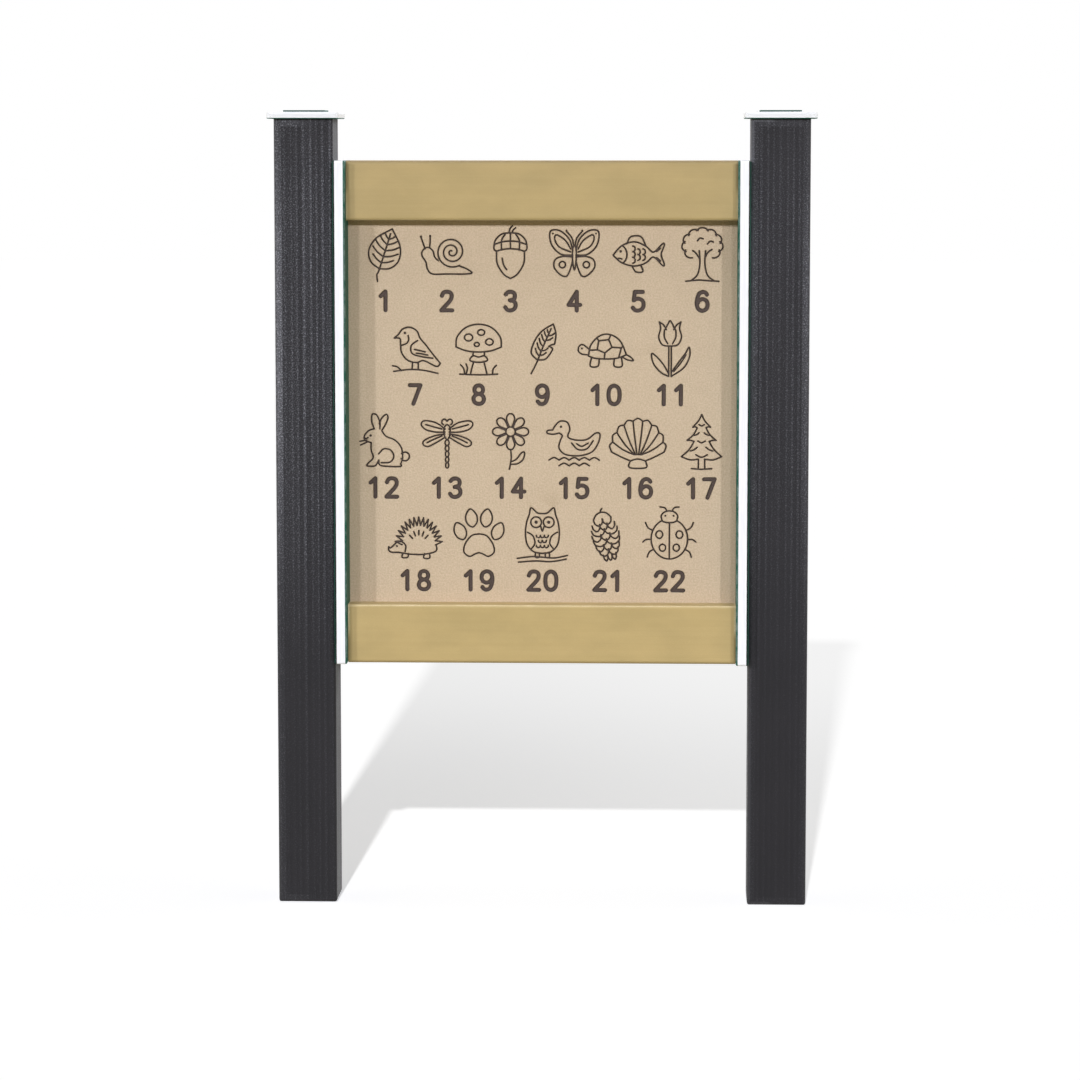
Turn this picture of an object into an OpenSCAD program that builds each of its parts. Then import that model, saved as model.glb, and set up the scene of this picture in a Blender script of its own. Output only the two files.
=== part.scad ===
// Free-standing information panel on two posts: a routed sign panel held in the grooves
// of a frame of two rails and two cheeks, which hangs between two capped posts.
// Units are millimetres, +Z is up, the front faces -Y. The origin is on the ground,
// midway between the posts and midway between front and back.

/* [Frame] */
// Height of the lower edge of the frame above the ground
frame_base = 368; // [150:1:900]
// Height of the frame, over both rails
frame_h = 755; // [450:1:1200]
// Length of each rail, which is also the visible width of the sign panel
rail_len = 584.2; // [350:0.1:1200]
// Height that each post stands above the frame
post_above = 62; // [20:1:200]

/* [Lumber] */
// Width of the square lumber of posts and rails
lumber_w = 88.9; // [80:0.1:140]
// Radius of the long edges of a post
post_edge_r = 5.5; // [1:0.5:10]
// Radius of the edges round the foot of a post
foot_edge_r = 5; // [1:0.5:8]
// Number of shallow flutes drawn along each face of a post
flute_count = 8; // [4:1:9]
// Width of a flute
flute_w = 6; // [3:0.5:7]
// Depth of a flute
flute_depth = 0.4; // [0.1:0.05:0.8]
// Most that a flute lies off its even place across the face
flute_wander = 1; // [0:0.1:1.5]
// Radius of the long edges of a rail
rail_edge_r = 4.5; // [1:0.5:8]
// Depth of the groove in a rail that takes the edge of the sign panel
rail_groove_depth = 12; // [6:0.5:16]

/* [Cheeks] */
// Thickness of the three-layer sheet of a cheek
cheek_t = 19.05; // [15:0.05:30]
// Depth of a cheek from front to back
cheek_depth = 127; // [110:0.5:180]
// Radius of the routed edges of a cheek
cheek_edge_r = 3.2; // [1:0.1:6]
// Depth of the stopped groove in a cheek that takes the edge of the sign panel
cheek_groove_depth = 8; // [4:0.5:11]

/* [Sign panel] */
// Thickness of the three-layer sheet of the sign panel
panel_t = 19.05; // [12:0.05:22]
// Play between each face of the sign panel and its groove
panel_play = 0.2; // [0.1:0.05:0.5]
// Room at each upright edge of the sign panel for it to swell in summer
panel_side_room = 1; // [0.5:0.1:3]
// Room above the sign panel for it to swell in summer
panel_top_room = 2; // [0.5:0.1:4]

/* [Caps] */
// Width of the square post cap
cap_w = 107.95; // [100:0.05:180]
// Thickness of the cap at its raised square
cap_t = 12.7; // [10:0.1:25]
// Width of the raised square on the cap
cap_land_w = 62; // [50:0.5:76]
// Height of the raised square above the bevel round it
cap_step = 2.2; // [0.5:0.1:4]
// Drop of the bevel from the raised square to the rim
cap_bevel_drop = 1.8; // [0.5:0.1:3.5]
// Radius of the upper edge of the rim
cap_rim_r = 2; // [0.5:0.1:3]
// Radius of the lower edge of the rim
cap_base_r = 1.6; // [0.5:0.1:2.5]
// Radius of the four upright corners of the cap
cap_corner_r = 6; // [1:0.5:12]

/* [Lag screws] */
// Diameter of the lag screw's shank
lag_d = 9.5; // [8:0.1:12]
// Length of the lag screw under its head
lag_len = 150; // [130:1:180]
// Height of the hexagonal head
lag_head_h = 6.4; // [4:0.1:8]
// Width of the hexagonal head across its flats
lag_head_af = 14.3; // [12:0.1:19]
// Length of the lag screw's point
lag_point = 9; // [4:0.5:15]
// Outer diameter of the washer
washer_d = 25.4; // [20:0.1:30]
// Thickness of the washer
washer_t = 2; // [1:0.1:3]
// Depth of the counterbore in the post
counterbore_depth = 14; // [10:0.5:25]
// Distance from the end of the cheek's groove to the nearer lag screw
lag_margin = 11.5; // [8:0.5:16]
// Distance between the two lag screws of one joint
lag_pitch = 34; // [24:0.5:36]

/* [Countersunk screws] */
// Diameter of the cheek screw
cheek_screw_d = 4.8; // [4:0.1:6.5]
// Length of the cheek screw
cheek_screw_len = 64; // [45:1:90]
// Distance of each cheek screw from the middle of the rail, front and back
cheek_screw_off = 28; // [20:0.5:32]
// Diameter of the cap screw
cap_screw_d = 4.2; // [3.5:0.1:6]
// Length of the cap screw
cap_screw_len = 50; // [30:1:80]
// Offset of each cap screw from the middle of the cap, sideways and front to back
cap_screw_off = 17; // [10:0.5:19]

/* [Clearances] */
// Radial clearance of a lag screw where it passes through post and cheek
lag_hole_gap = 0.4; // [0.2:0.1:1]
// Radial clearance round a screw in its pilot hole
pilot_gap = 0.1; // [0.05:0.05:0.3]
// Radial clearance of a washer in its counterbore
washer_gap = 1.2; // [0.5:0.1:3]

/* [Hidden] */

$fn = 48;
LEFT = -1;
RIGHT = 1;
UPPER = 1;
LOWER = -1;

charcoal = "#3d3c40";
green = "#2f5c48";
tan_lumber = "#bca674";
beige = "#c9b69d";
steel = "#b4b7ba";

// Heights
frame_top = frame_base + frame_h;
post_h = frame_top + post_above;

// Places across the width, on the left side
cheek_x = -rail_len / 2 - cheek_t;
post_x = cheek_x - lumber_w;
post_mid_x = post_x + lumber_w / 2;

// Grooves
groove_w = panel_t + 2 * panel_play;
groove_r = groove_w / 2;
groove_low = frame_base + lumber_w - rail_groove_depth;
groove_high = frame_top - lumber_w + rail_groove_depth;

// Screw places, measured from the grooved side of a rail
lag_near = rail_groove_depth + groove_r + lag_margin;
lag_offsets = [lag_near, lag_near + lag_pitch];

// Countersunk heads: a right-angled cone, twice as wide as the shank
function head_d(d) = 2 * d;
function head_h(d) = d / 2;

// Screw shapes, as shares of the shank's diameter
drive_w_share = 0.75;
drive_depth_share = 0.75;
point_share = 1.6;

// Flat at the end of a screw's point, chamfer of a hexagonal head, and how far a cut overruns
point_flat = 0.6;
lag_chamfer = 0.8;
cut = 1;

// Flutes: the radius that gives a flute its width and depth, and its place across a face
flute_r = (flute_w * flute_w / 4 + flute_depth * flute_depth) / (2 * flute_depth);
flute_pitch = (lumber_w - 2 * post_edge_r) / flute_count;
flute_turn = 110;
function flute_at(i) = (i - (flute_count - 1) / 2) * flute_pitch + flute_wander * sin(i * flute_turn);

// Height of a point on a rail, given its distance from the rail's grooved side
function from_groove(level, d) =
  level == UPPER ? frame_top - lumber_w + d : frame_base + lumber_w - d;

// Draws for the left side, and mirrors that to the right
module on_side(side) {
  mirror([side == RIGHT ? 1 : 0, 0, 0])
    children();
}

// Turns a shape that points down -Z so that it points inwards, along +X
module pointing_in() {
  rotate([0, -90, 0])
    children();
}

// Rectangle with four round corners, centred
module round_rect(w, h, r) {
  square([w - 2 * r, h], center = true);
  square([w, h - 2 * r], center = true);
  for (x = [-1, 1], y = [-1, 1])
    translate([x * (w / 2 - r), y * (h / 2 - r)])
      circle(r);
}

// Cross-section of a post, with its drawn flutes
module post_section() {
  difference() {
    round_rect(lumber_w, lumber_w, post_edge_r);
    for (turn = [0:90:270], i = [0:flute_count - 1])
      rotate(turn)
        translate([flute_at(i), lumber_w / 2 + flute_r - flute_depth])
          circle(flute_r, $fn = 4 * $fn);
  }
}

// Outline of a post from the side: square at the top, round at the corners of the foot
module post_outline() {
  translate([-lumber_w / 2, foot_edge_r])
    square([lumber_w, post_h - foot_edge_r]);
  translate([foot_edge_r - lumber_w / 2, 0])
    square([lumber_w - 2 * foot_edge_r, foot_edge_r + cut]);
  for (x = [-1, 1])
    translate([x * (lumber_w / 2 - foot_edge_r), foot_edge_r])
      circle(foot_edge_r);
}

// Screw with a countersunk head, its top at z = 0 and its point down
module countersunk_screw(d, len, grow) {
  tip = point_share * d;
  translate([0, 0, -head_h(d)])
    cylinder(h = head_h(d), d1 = d + 2 * grow, d2 = head_d(d) + 2 * grow);
  translate([0, 0, tip - len])
    cylinder(h = len - tip - head_h(d) / 2, d = d + 2 * grow);
  translate([0, 0, -len - grow])
    cylinder(h = tip + grow, d1 = point_flat + 2 * grow, d2 = d + 2 * grow);
}

// The same screw with its square drive socket
module driven_screw(d, len) {
  socket_w = drive_w_share * d;
  socket_depth = drive_depth_share * d;
  difference() {
    countersunk_screw(d, len, 0);
    translate([-socket_w / 2, -socket_w / 2, -socket_depth])
      cube([socket_w, socket_w, socket_depth + cut]);
  }
}

// Hole for that screw, open above its head
module countersunk_hole(d, len) {
  countersunk_screw(d, len, pilot_gap);
  translate([0, 0, -pilot_gap])
    cylinder(h = cut, d = head_d(d) + 2 * pilot_gap);
}

// Lag screw, the underside of its head at z = 0 and its point down
module lag_screw() {
  cylinder(h = lag_head_h - lag_chamfer, d = lag_head_af / cos(30), $fn = 6);
  translate([0, 0, lag_head_h - lag_chamfer])
    cylinder(h = lag_chamfer, d1 = lag_head_af, d2 = lag_head_af - 2 * lag_chamfer);
  translate([0, 0, lag_point - lag_len])
    cylinder(h = lag_len - lag_point, d = lag_d);
  translate([0, 0, -lag_len])
    cylinder(h = lag_point, d1 = point_flat, d2 = lag_d);
}

module washer() {
  difference() {
    cylinder(h = washer_t, d = washer_d);
    translate([0, 0, -cut])
      cylinder(h = washer_t + 2 * cut, d = lag_d + 2 * lag_hole_gap);
  }
}

// Moves a shape to both lag screws of a left joint, its z = 0 on the counterbore's floor
module at_lags(level) {
  for (d = lag_offsets)
    translate([post_x + counterbore_depth, 0, from_groove(level, d)])
      pointing_in()
        children();
}

// Moves a shape to both cheek screws of a left joint, its z = 0 on the cheek's outer face
module at_cheek_screws(level) {
  for (y = [-1, 1])
    translate([cheek_x, y * cheek_screw_off, from_groove(level, lumber_w / 2)])
      pointing_in()
        children();
}

// Moves a shape to both screws of the left cap, its z = 0 on top of the cap
module at_cap_screws() {
  for (s = [-1, 1])
    translate([post_mid_x + s * cap_screw_off, s * cap_screw_off, post_h + cap_t])
      children();
}

// Clearance holes and counterbores for the lag screws of one left joint
module lag_holes(level) {
  at_lags(level) {
    cylinder(h = counterbore_depth + cut, d = washer_d + 2 * washer_gap);
    translate([0, 0, -lumber_w - cheek_t])
      cylinder(h = lumber_w + cheek_t + cut, d = lag_d + 2 * lag_hole_gap);
  }
}

module post(side) {
  color(charcoal)
    on_side(side)
      difference() {
        translate([post_mid_x, 0, 0])
          intersection() {
            linear_extrude(post_h)
              post_section();
            rotate([90, 0, 0])
              linear_extrude(2 * lumber_w, center = true)
                post_outline();
            rotate([90, 0, 90])
              linear_extrude(2 * lumber_w, center = true)
                post_outline();
          }
        lag_holes(UPPER);
        lag_holes(LOWER);
        at_cap_screws()
          countersunk_screw(cap_screw_d, cap_screw_len, pilot_gap);
      }
}

// Half of the cap's section, from its middle to the rim, on the right of the z axis
module cap_half_section() {
  bevel_z = cap_t - cap_step;
  rim_z = bevel_z - cap_bevel_drop;
  bevel_a = atan2(cap_bevel_drop, (cap_w - cap_land_w) / 2);
  rim_c = [cap_w / 2 - cap_rim_r, rim_z + cap_rim_r * (tan(bevel_a) - 1 / cos(bevel_a))];
  polygon([
    [0, 0],
    [cap_w / 2 - cap_base_r, 0],
    [cap_w / 2, cap_base_r],
    [cap_w / 2, rim_c.y],
    rim_c + cap_rim_r * [sin(bevel_a), cos(bevel_a)],
    [cap_land_w / 2, bevel_z],
    [cap_land_w / 2, cap_t],
    [0, cap_t]
  ]);
  translate([cap_w / 2 - cap_base_r, cap_base_r])
    circle(cap_base_r);
  translate(rim_c)
    circle(cap_rim_r);
}

// Bar with the cap's section, along the y axis
module cap_bar() {
  rotate([90, 0, 0])
    linear_extrude(2 * cap_w, center = true) {
      cap_half_section();
      mirror([1, 0])
        cap_half_section();
    }
}

// The cap's rim and bevel are the two bars' common part; the raised square stands on them
module cap(side) {
  color(green)
    on_side(side)
      difference() {
        translate([post_mid_x, 0, post_h])
          intersection() {
            cap_bar();
            rotate([0, 0, 90])
              cap_bar();
            linear_extrude(cap_t)
              round_rect(cap_w, cap_w, cap_corner_r);
          }
        at_cap_screws()
          countersunk_hole(cap_screw_d, cap_screw_len);
      }
}

module cheek(side) {
  color(green)
    on_side(side)
      difference() {
        translate([cheek_x + cheek_t / 2, 0, frame_base + frame_h / 2])
          intersection() {
            linear_extrude(frame_h + cut, center = true)
              round_rect(cheek_t, cheek_depth, cheek_edge_r);
            rotate([90, 0, 0])
              linear_extrude(cheek_depth + cut, center = true)
                round_rect(cheek_t, frame_h, cheek_edge_r);
            rotate([90, 0, 90])
              linear_extrude(cheek_t + cut, center = true)
                round_rect(cheek_depth, frame_h, cheek_edge_r);
          }
        cheek_groove();
        for (level = [UPPER, LOWER]) {
          lag_holes(level);
          at_cheek_screws(level)
            countersunk_hole(cheek_screw_d, cheek_screw_len);
        }
      }
}

// Stopped groove in the inner face of the left cheek, round at both ends
module cheek_groove() {
  translate([cheek_x + cheek_t - cheek_groove_depth, 0, 0])
    rotate([90, 0, 90])
      linear_extrude(cheek_groove_depth + cut) {
        translate([-groove_r, groove_low])
          square([groove_w, groove_high - groove_low]);
        for (z = [groove_low, groove_high])
          translate([0, z])
            circle(groove_r);
      }
}

// Rail with its groove towards the sign panel and its pilot holes in both ends
module rail(level) {
  groove_floor = level == UPPER ? -lumber_w / 2 - cut : lumber_w / 2 - rail_groove_depth;
  color(tan_lumber)
    difference() {
      translate([0, 0, from_groove(level, lumber_w / 2)])
        rotate([90, 0, 90])
          linear_extrude(rail_len, center = true)
            difference() {
              round_rect(lumber_w, lumber_w, rail_edge_r);
              translate([-groove_r, groove_floor])
                square([groove_w, rail_groove_depth + cut]);
            }
      for (side = [LEFT, RIGHT])
        on_side(side) {
          at_lags(level)
            translate([0, 0, washer_t - lag_len - pilot_gap])
              cylinder(h = lag_len, d = lag_d + 2 * pilot_gap);
          at_cheek_screws(level)
            countersunk_screw(cheek_screw_d, cheek_screw_len, pilot_gap);
        }
    }
}

// The sign panel stands on the floor of the bottom rail's groove
module sign_panel() {
  side_reach = cheek_groove_depth - panel_side_room;
  panel_w = rail_len + 2 * side_reach;
  color(beige)
    translate([-panel_w / 2, -panel_t / 2, groove_low])
      cube([panel_w, panel_t, groove_high - groove_low - panel_top_room]);
}

module lag_screws(level, side) {
  color(steel)
    on_side(side)
      at_lags(level)
        translate([0, 0, washer_t])
          lag_screw();
}

module lag_washers(level, side) {
  color(steel)
    on_side(side)
      at_lags(level)
        washer();
}

module cheek_screws(level, side) {
  color(steel)
    on_side(side)
      at_cheek_screws(level)
        driven_screw(cheek_screw_d, cheek_screw_len);
}

module cap_screws(side) {
  color(steel)
    on_side(side)
      at_cap_screws()
        driven_screw(cap_screw_d, cap_screw_len);
}

post(LEFT);  // left_post
post(RIGHT);  // right_post
cap(LEFT);  // left_cap
cap(RIGHT);  // right_cap
cheek(LEFT);  // left_cheek
cheek(RIGHT);  // right_cheek
rail(UPPER);  // top_rail
rail(LOWER);  // bottom_rail
sign_panel();
lag_screws(UPPER, LEFT);  // upper_left_lag_screws
lag_screws(UPPER, RIGHT);  // upper_right_lag_screws
lag_screws(LOWER, LEFT);  // lower_left_lag_screws
lag_screws(LOWER, RIGHT);  // lower_right_lag_screws
lag_washers(UPPER, LEFT);  // upper_left_lag_washers
lag_washers(UPPER, RIGHT);  // upper_right_lag_washers
lag_washers(LOWER, LEFT);  // lower_left_lag_washers
lag_washers(LOWER, RIGHT);  // lower_right_lag_washers
cheek_screws(UPPER, LEFT);  // upper_left_cheek_screws
cheek_screws(UPPER, RIGHT);  // upper_right_cheek_screws
cheek_screws(LOWER, LEFT);  // lower_left_cheek_screws
cheek_screws(LOWER, RIGHT);  // lower_right_cheek_screws
cap_screws(LEFT);  // left_cap_screws
cap_screws(RIGHT);  // right_cap_screws
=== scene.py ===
"""Looks of a free-standing information panel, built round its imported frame.

The frame gives every size and place, in metres: +Z is up and the front faces -Y. Posts, caps,
cheeks and rails keep their own meshes and get their finishes here. The sign panel is rebuilt with
its routed drawing, and the screws and washers with their threads, heads and drive sockets.
"""

import logging
import math
from dataclasses import dataclass, replace
from enum import Enum
from typing import Callable

import bpy
import numpy as np
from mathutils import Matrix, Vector
from mathutils.geometry import delaunay_2d_cdt


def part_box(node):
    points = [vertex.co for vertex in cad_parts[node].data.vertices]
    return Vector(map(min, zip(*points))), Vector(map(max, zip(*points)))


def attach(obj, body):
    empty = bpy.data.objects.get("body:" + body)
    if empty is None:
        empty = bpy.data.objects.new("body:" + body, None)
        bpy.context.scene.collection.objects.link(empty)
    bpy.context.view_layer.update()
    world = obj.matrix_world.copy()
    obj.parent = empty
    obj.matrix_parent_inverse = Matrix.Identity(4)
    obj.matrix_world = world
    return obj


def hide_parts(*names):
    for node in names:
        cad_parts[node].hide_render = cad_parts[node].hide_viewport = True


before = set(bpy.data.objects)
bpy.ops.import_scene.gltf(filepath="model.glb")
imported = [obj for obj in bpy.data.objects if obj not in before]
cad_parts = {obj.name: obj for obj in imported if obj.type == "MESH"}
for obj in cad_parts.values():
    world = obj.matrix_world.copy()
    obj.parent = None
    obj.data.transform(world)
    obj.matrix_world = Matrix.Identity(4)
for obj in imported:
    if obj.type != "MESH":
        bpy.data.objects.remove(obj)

Point = tuple[float, float]
Path = list[Point]
Colour = tuple[float, float, float]
Span = tuple[float, float]
Step = tuple[float, float, float, float]
Outlets = bpy.types.NodeInputs
Material = bpy.types.Material
Thing = bpy.types.Object
Tree = bpy.types.NodeTree

LOG = logging.getLogger("information_panel")
BODY = "root"
MM = 0.001
BLACK: Colour = (0.0, 0.0, 0.0)

# Spans of noise that are stretched to 0 and 1
FULL_NOISE: Span = (0.3, 0.7)
STREAK_NOISE: Span = (0.38, 0.66)
SALT_NOISE: Span = (0.5, 0.7)
PEPPER_NOISE: Span = (0.5, 0.3)
SPOT_NOISE: Span = (0.35, 0.7)
TOOL_NOISE: Span = (0.35, 0.75)
RIDGE_NOISE: Span = (0.25, 0.7)

# How squarely a face looks along an axis before it counts as turned that way
CUT_FACING: Span = (0.5, 0.8)
WALL_FACING: Span = (0.4, 0.7)
SIDE_FACING = 0.7

# The reach of the object across and upwards, in metres, for changes of tone
WIDTH: Span = (-0.3, 0.3)
HEIGHT: Span = (0, 1.2)


class Axis(Enum):
    """The three directions of the frame."""

    X = 0
    Y = 1
    Z = 2


class Side(Enum):
    """The two sides of the panel, as seen from the front."""

    LEFT = -1
    RIGHT = 1

    @property
    def word(self) -> str:
        """The side's word in the names of nodes."""
        return self.name.lower()


class Level(Enum):
    """The two rails of the frame."""

    UPPER = "upper"
    LOWER = "lower"


class Wire:
    """A value that runs through a node tree. Arithmetic on it adds the nodes that work it out."""

    def __init__(self, graph: "Graph", socket: bpy.types.NodeSocket) -> None:
        """Stands for one output of a node."""
        self.graph = graph
        self.socket = socket

    def __add__(self, other: "Value") -> "Wire":
        """Adds another value."""
        return self.graph.math("ADD", self, other)

    def __sub__(self, other: "Value") -> "Wire":
        """Takes another value away."""
        return self.graph.math("SUBTRACT", self, other)

    def __rsub__(self, other: "Value") -> "Wire":
        """Takes this value away from another."""
        return self.graph.math("SUBTRACT", other, self)

    def __mul__(self, other: "Value") -> "Wire":
        """Multiplies by another value."""
        return self.graph.math("MULTIPLY", self, other)

    def __truediv__(self, other: "Value") -> "Wire":
        """Divides by another value."""
        return self.graph.math("DIVIDE", self, other)

    def __abs__(self) -> "Wire":
        """Drops the sign."""
        return self.graph.math("ABSOLUTE", self)


Value = Wire | float | tuple | list[Wire]
Sockets = dict[str | int, Value]
Wires = dict[str, Wire]


class Graph:
    """Adds nodes to a shader or geometry tree and links them."""

    def __init__(self, tree: Tree) -> None:
        """Works on an empty tree."""
        self.tree = tree

    def node(self, kind: str, sockets: Sockets | None = None, **settings) -> bpy.types.Node:
        """Adds a node.

        Args:
            kind: Blender's name for the kind of node.
            sockets: A value, or wires to link from, for each input named or numbered.
            settings: The node's own settings.

        Returns:
            The new node.
        """
        made = self.tree.nodes.new(kind)
        for name, value in settings.items():
            setattr(made, name, value)
        for key, value in (sockets or {}).items():
            self.fill(made.inputs[key], value)
        return made

    def add(self, kind: str, sockets: Sockets | None = None, output: str | int = 0, **settings) -> Wire:
        """Adds a node and returns one of its outputs."""
        return Wire(self, self.node(kind, sockets, **settings).outputs[output])

    def fill(self, socket: bpy.types.NodeSocket, value: Value) -> None:
        """Links one or more wires into an input, or sets the input to a value."""
        if isinstance(value, list):
            for wire in value:
                self.fill(socket, wire)
        elif isinstance(value, Wire):
            self.tree.links.new(value.socket, socket)
        else:
            socket.default_value = (*value, 1.0) if socket.type == "RGBA" else value

    def math(self, operation: str, *values: Value) -> Wire:
        """Adds a calculation on one, two or three values and returns its result."""
        return self.add("ShaderNodeMath", dict(enumerate(values)), operation=operation)

    def vector(self, operation: str, *values: Value) -> Wire:
        """Adds a calculation on vectors and returns its result."""
        return self.add("ShaderNodeVectorMath", dict(enumerate(values)), operation=operation)

    def split(self, vector: Value) -> list[Wire]:
        """Returns the three parts of a vector."""
        return [Wire(self, part) for part in self.node("ShaderNodeSeparateXYZ", {0: vector}).outputs]

    def join(self, *parts: Value) -> Wire:
        """Returns the vector, or the colour, that three parts make."""
        return self.add("ShaderNodeCombineXYZ", dict(enumerate(parts)))

    def group(self, tree: Tree, sockets: Sockets) -> Wires:
        """Adds a node group and returns its outputs by name."""
        made = self.node(tree.bl_idname.replace("Tree", "Group"), sockets, node_tree=tree)
        return {output.name: Wire(self, output) for output in made.outputs}

    def ramp(self, value: Value, low: Value, high: Value, start: float = 0, end: float = 1) -> Wire:
        """Maps a value between low and high smoothly to start and end, and returns it."""
        sockets = {"Value": value, "From Min": low, "From Max": high, "To Min": start, "To Max": end}
        return self.add("ShaderNodeMapRange", sockets, interpolation_type="SMOOTHSTEP")

    def steps(self, value: Value, steps: tuple[Step, ...]) -> Wire:
        """Adds up the ramps of a value, each given as low, high, start and end, and returns the sum."""
        total = self.ramp(value, *steps[0])
        for step in steps[1:]:
            total = total + self.ramp(value, *step)
        return total

    def mix(self, share: Value, first: Value, second: Value, blend: str = "MIX") -> Wire:
        """Mixes two colours and returns the result."""
        sockets = {0: share, 6: first, 7: second}
        return self.add("ShaderNodeMix", sockets, 2, data_type="RGBA", blend_type=blend)

    def noise(self, place: Value, scale: Value, detail: float = 2, rough: float = 0.5) -> Wire:
        """Adds smooth noise at a place and returns its value."""
        sockets = {"Vector": place, "Scale": scale, "Detail": detail, "Roughness": rough}
        return self.add("ShaderNodeTexNoise", sockets)

    def place(self) -> Wire:
        """Returns the place on the object, in metres."""
        return self.add("ShaderNodeTexCoord", output="Object")

    def along(self, axis: Axis) -> Wire:
        """Returns the place on the object along one axis."""
        return self.split(self.place())[axis.value]

    def facing(self) -> list[Wire]:
        """Returns the three parts of the direction that a face looks in."""
        return self.split(self.add("ShaderNodeNewGeometry", output="True Normal"))

    def end_surface(self, bump: float, height: Value, sockets: Sockets) -> None:
        """Ends a material: a surface with those inputs, and a bump of that depth in metres."""
        normal = self.add("ShaderNodeBump", {"Strength": 1.0, "Distance": bump, "Height": height})
        surface = self.add("ShaderNodeBsdfPrincipled", {**sockets, "Normal": normal})
        self.node("ShaderNodeOutputMaterial", {"Surface": surface})


def floats(*names: str) -> dict[str, str]:
    """Gives each named socket the kind of a number."""
    return dict.fromkeys(names, "Float")


def new_group(name: str, inputs: dict[str, str], outputs: dict[str, str], kind: str = "Shader"
              ) -> tuple[Graph, Wires, Outlets]:
    """Starts a node group.

    Args:
        name: The group's name.
        inputs: The kind of each named input.
        outputs: The kind of each named output.
        kind: "Shader" or "Geometry".

    Returns:
        The graph to add to, its inputs as wires by name, and the sockets of its outputs.
    """
    tree = bpy.data.node_groups.new(name, f"{kind}NodeTree")
    for in_out, sockets in (("INPUT", inputs), ("OUTPUT", outputs)):
        for socket, socket_kind in sockets.items():
            tree.interface.new_socket(socket, in_out=in_out, socket_type=f"NodeSocket{socket_kind}")
    graph = Graph(tree)
    given = graph.node("NodeGroupInput").outputs
    return graph, {key: Wire(graph, given[key]) for key in inputs}, graph.node("NodeGroupOutput").inputs


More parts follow.
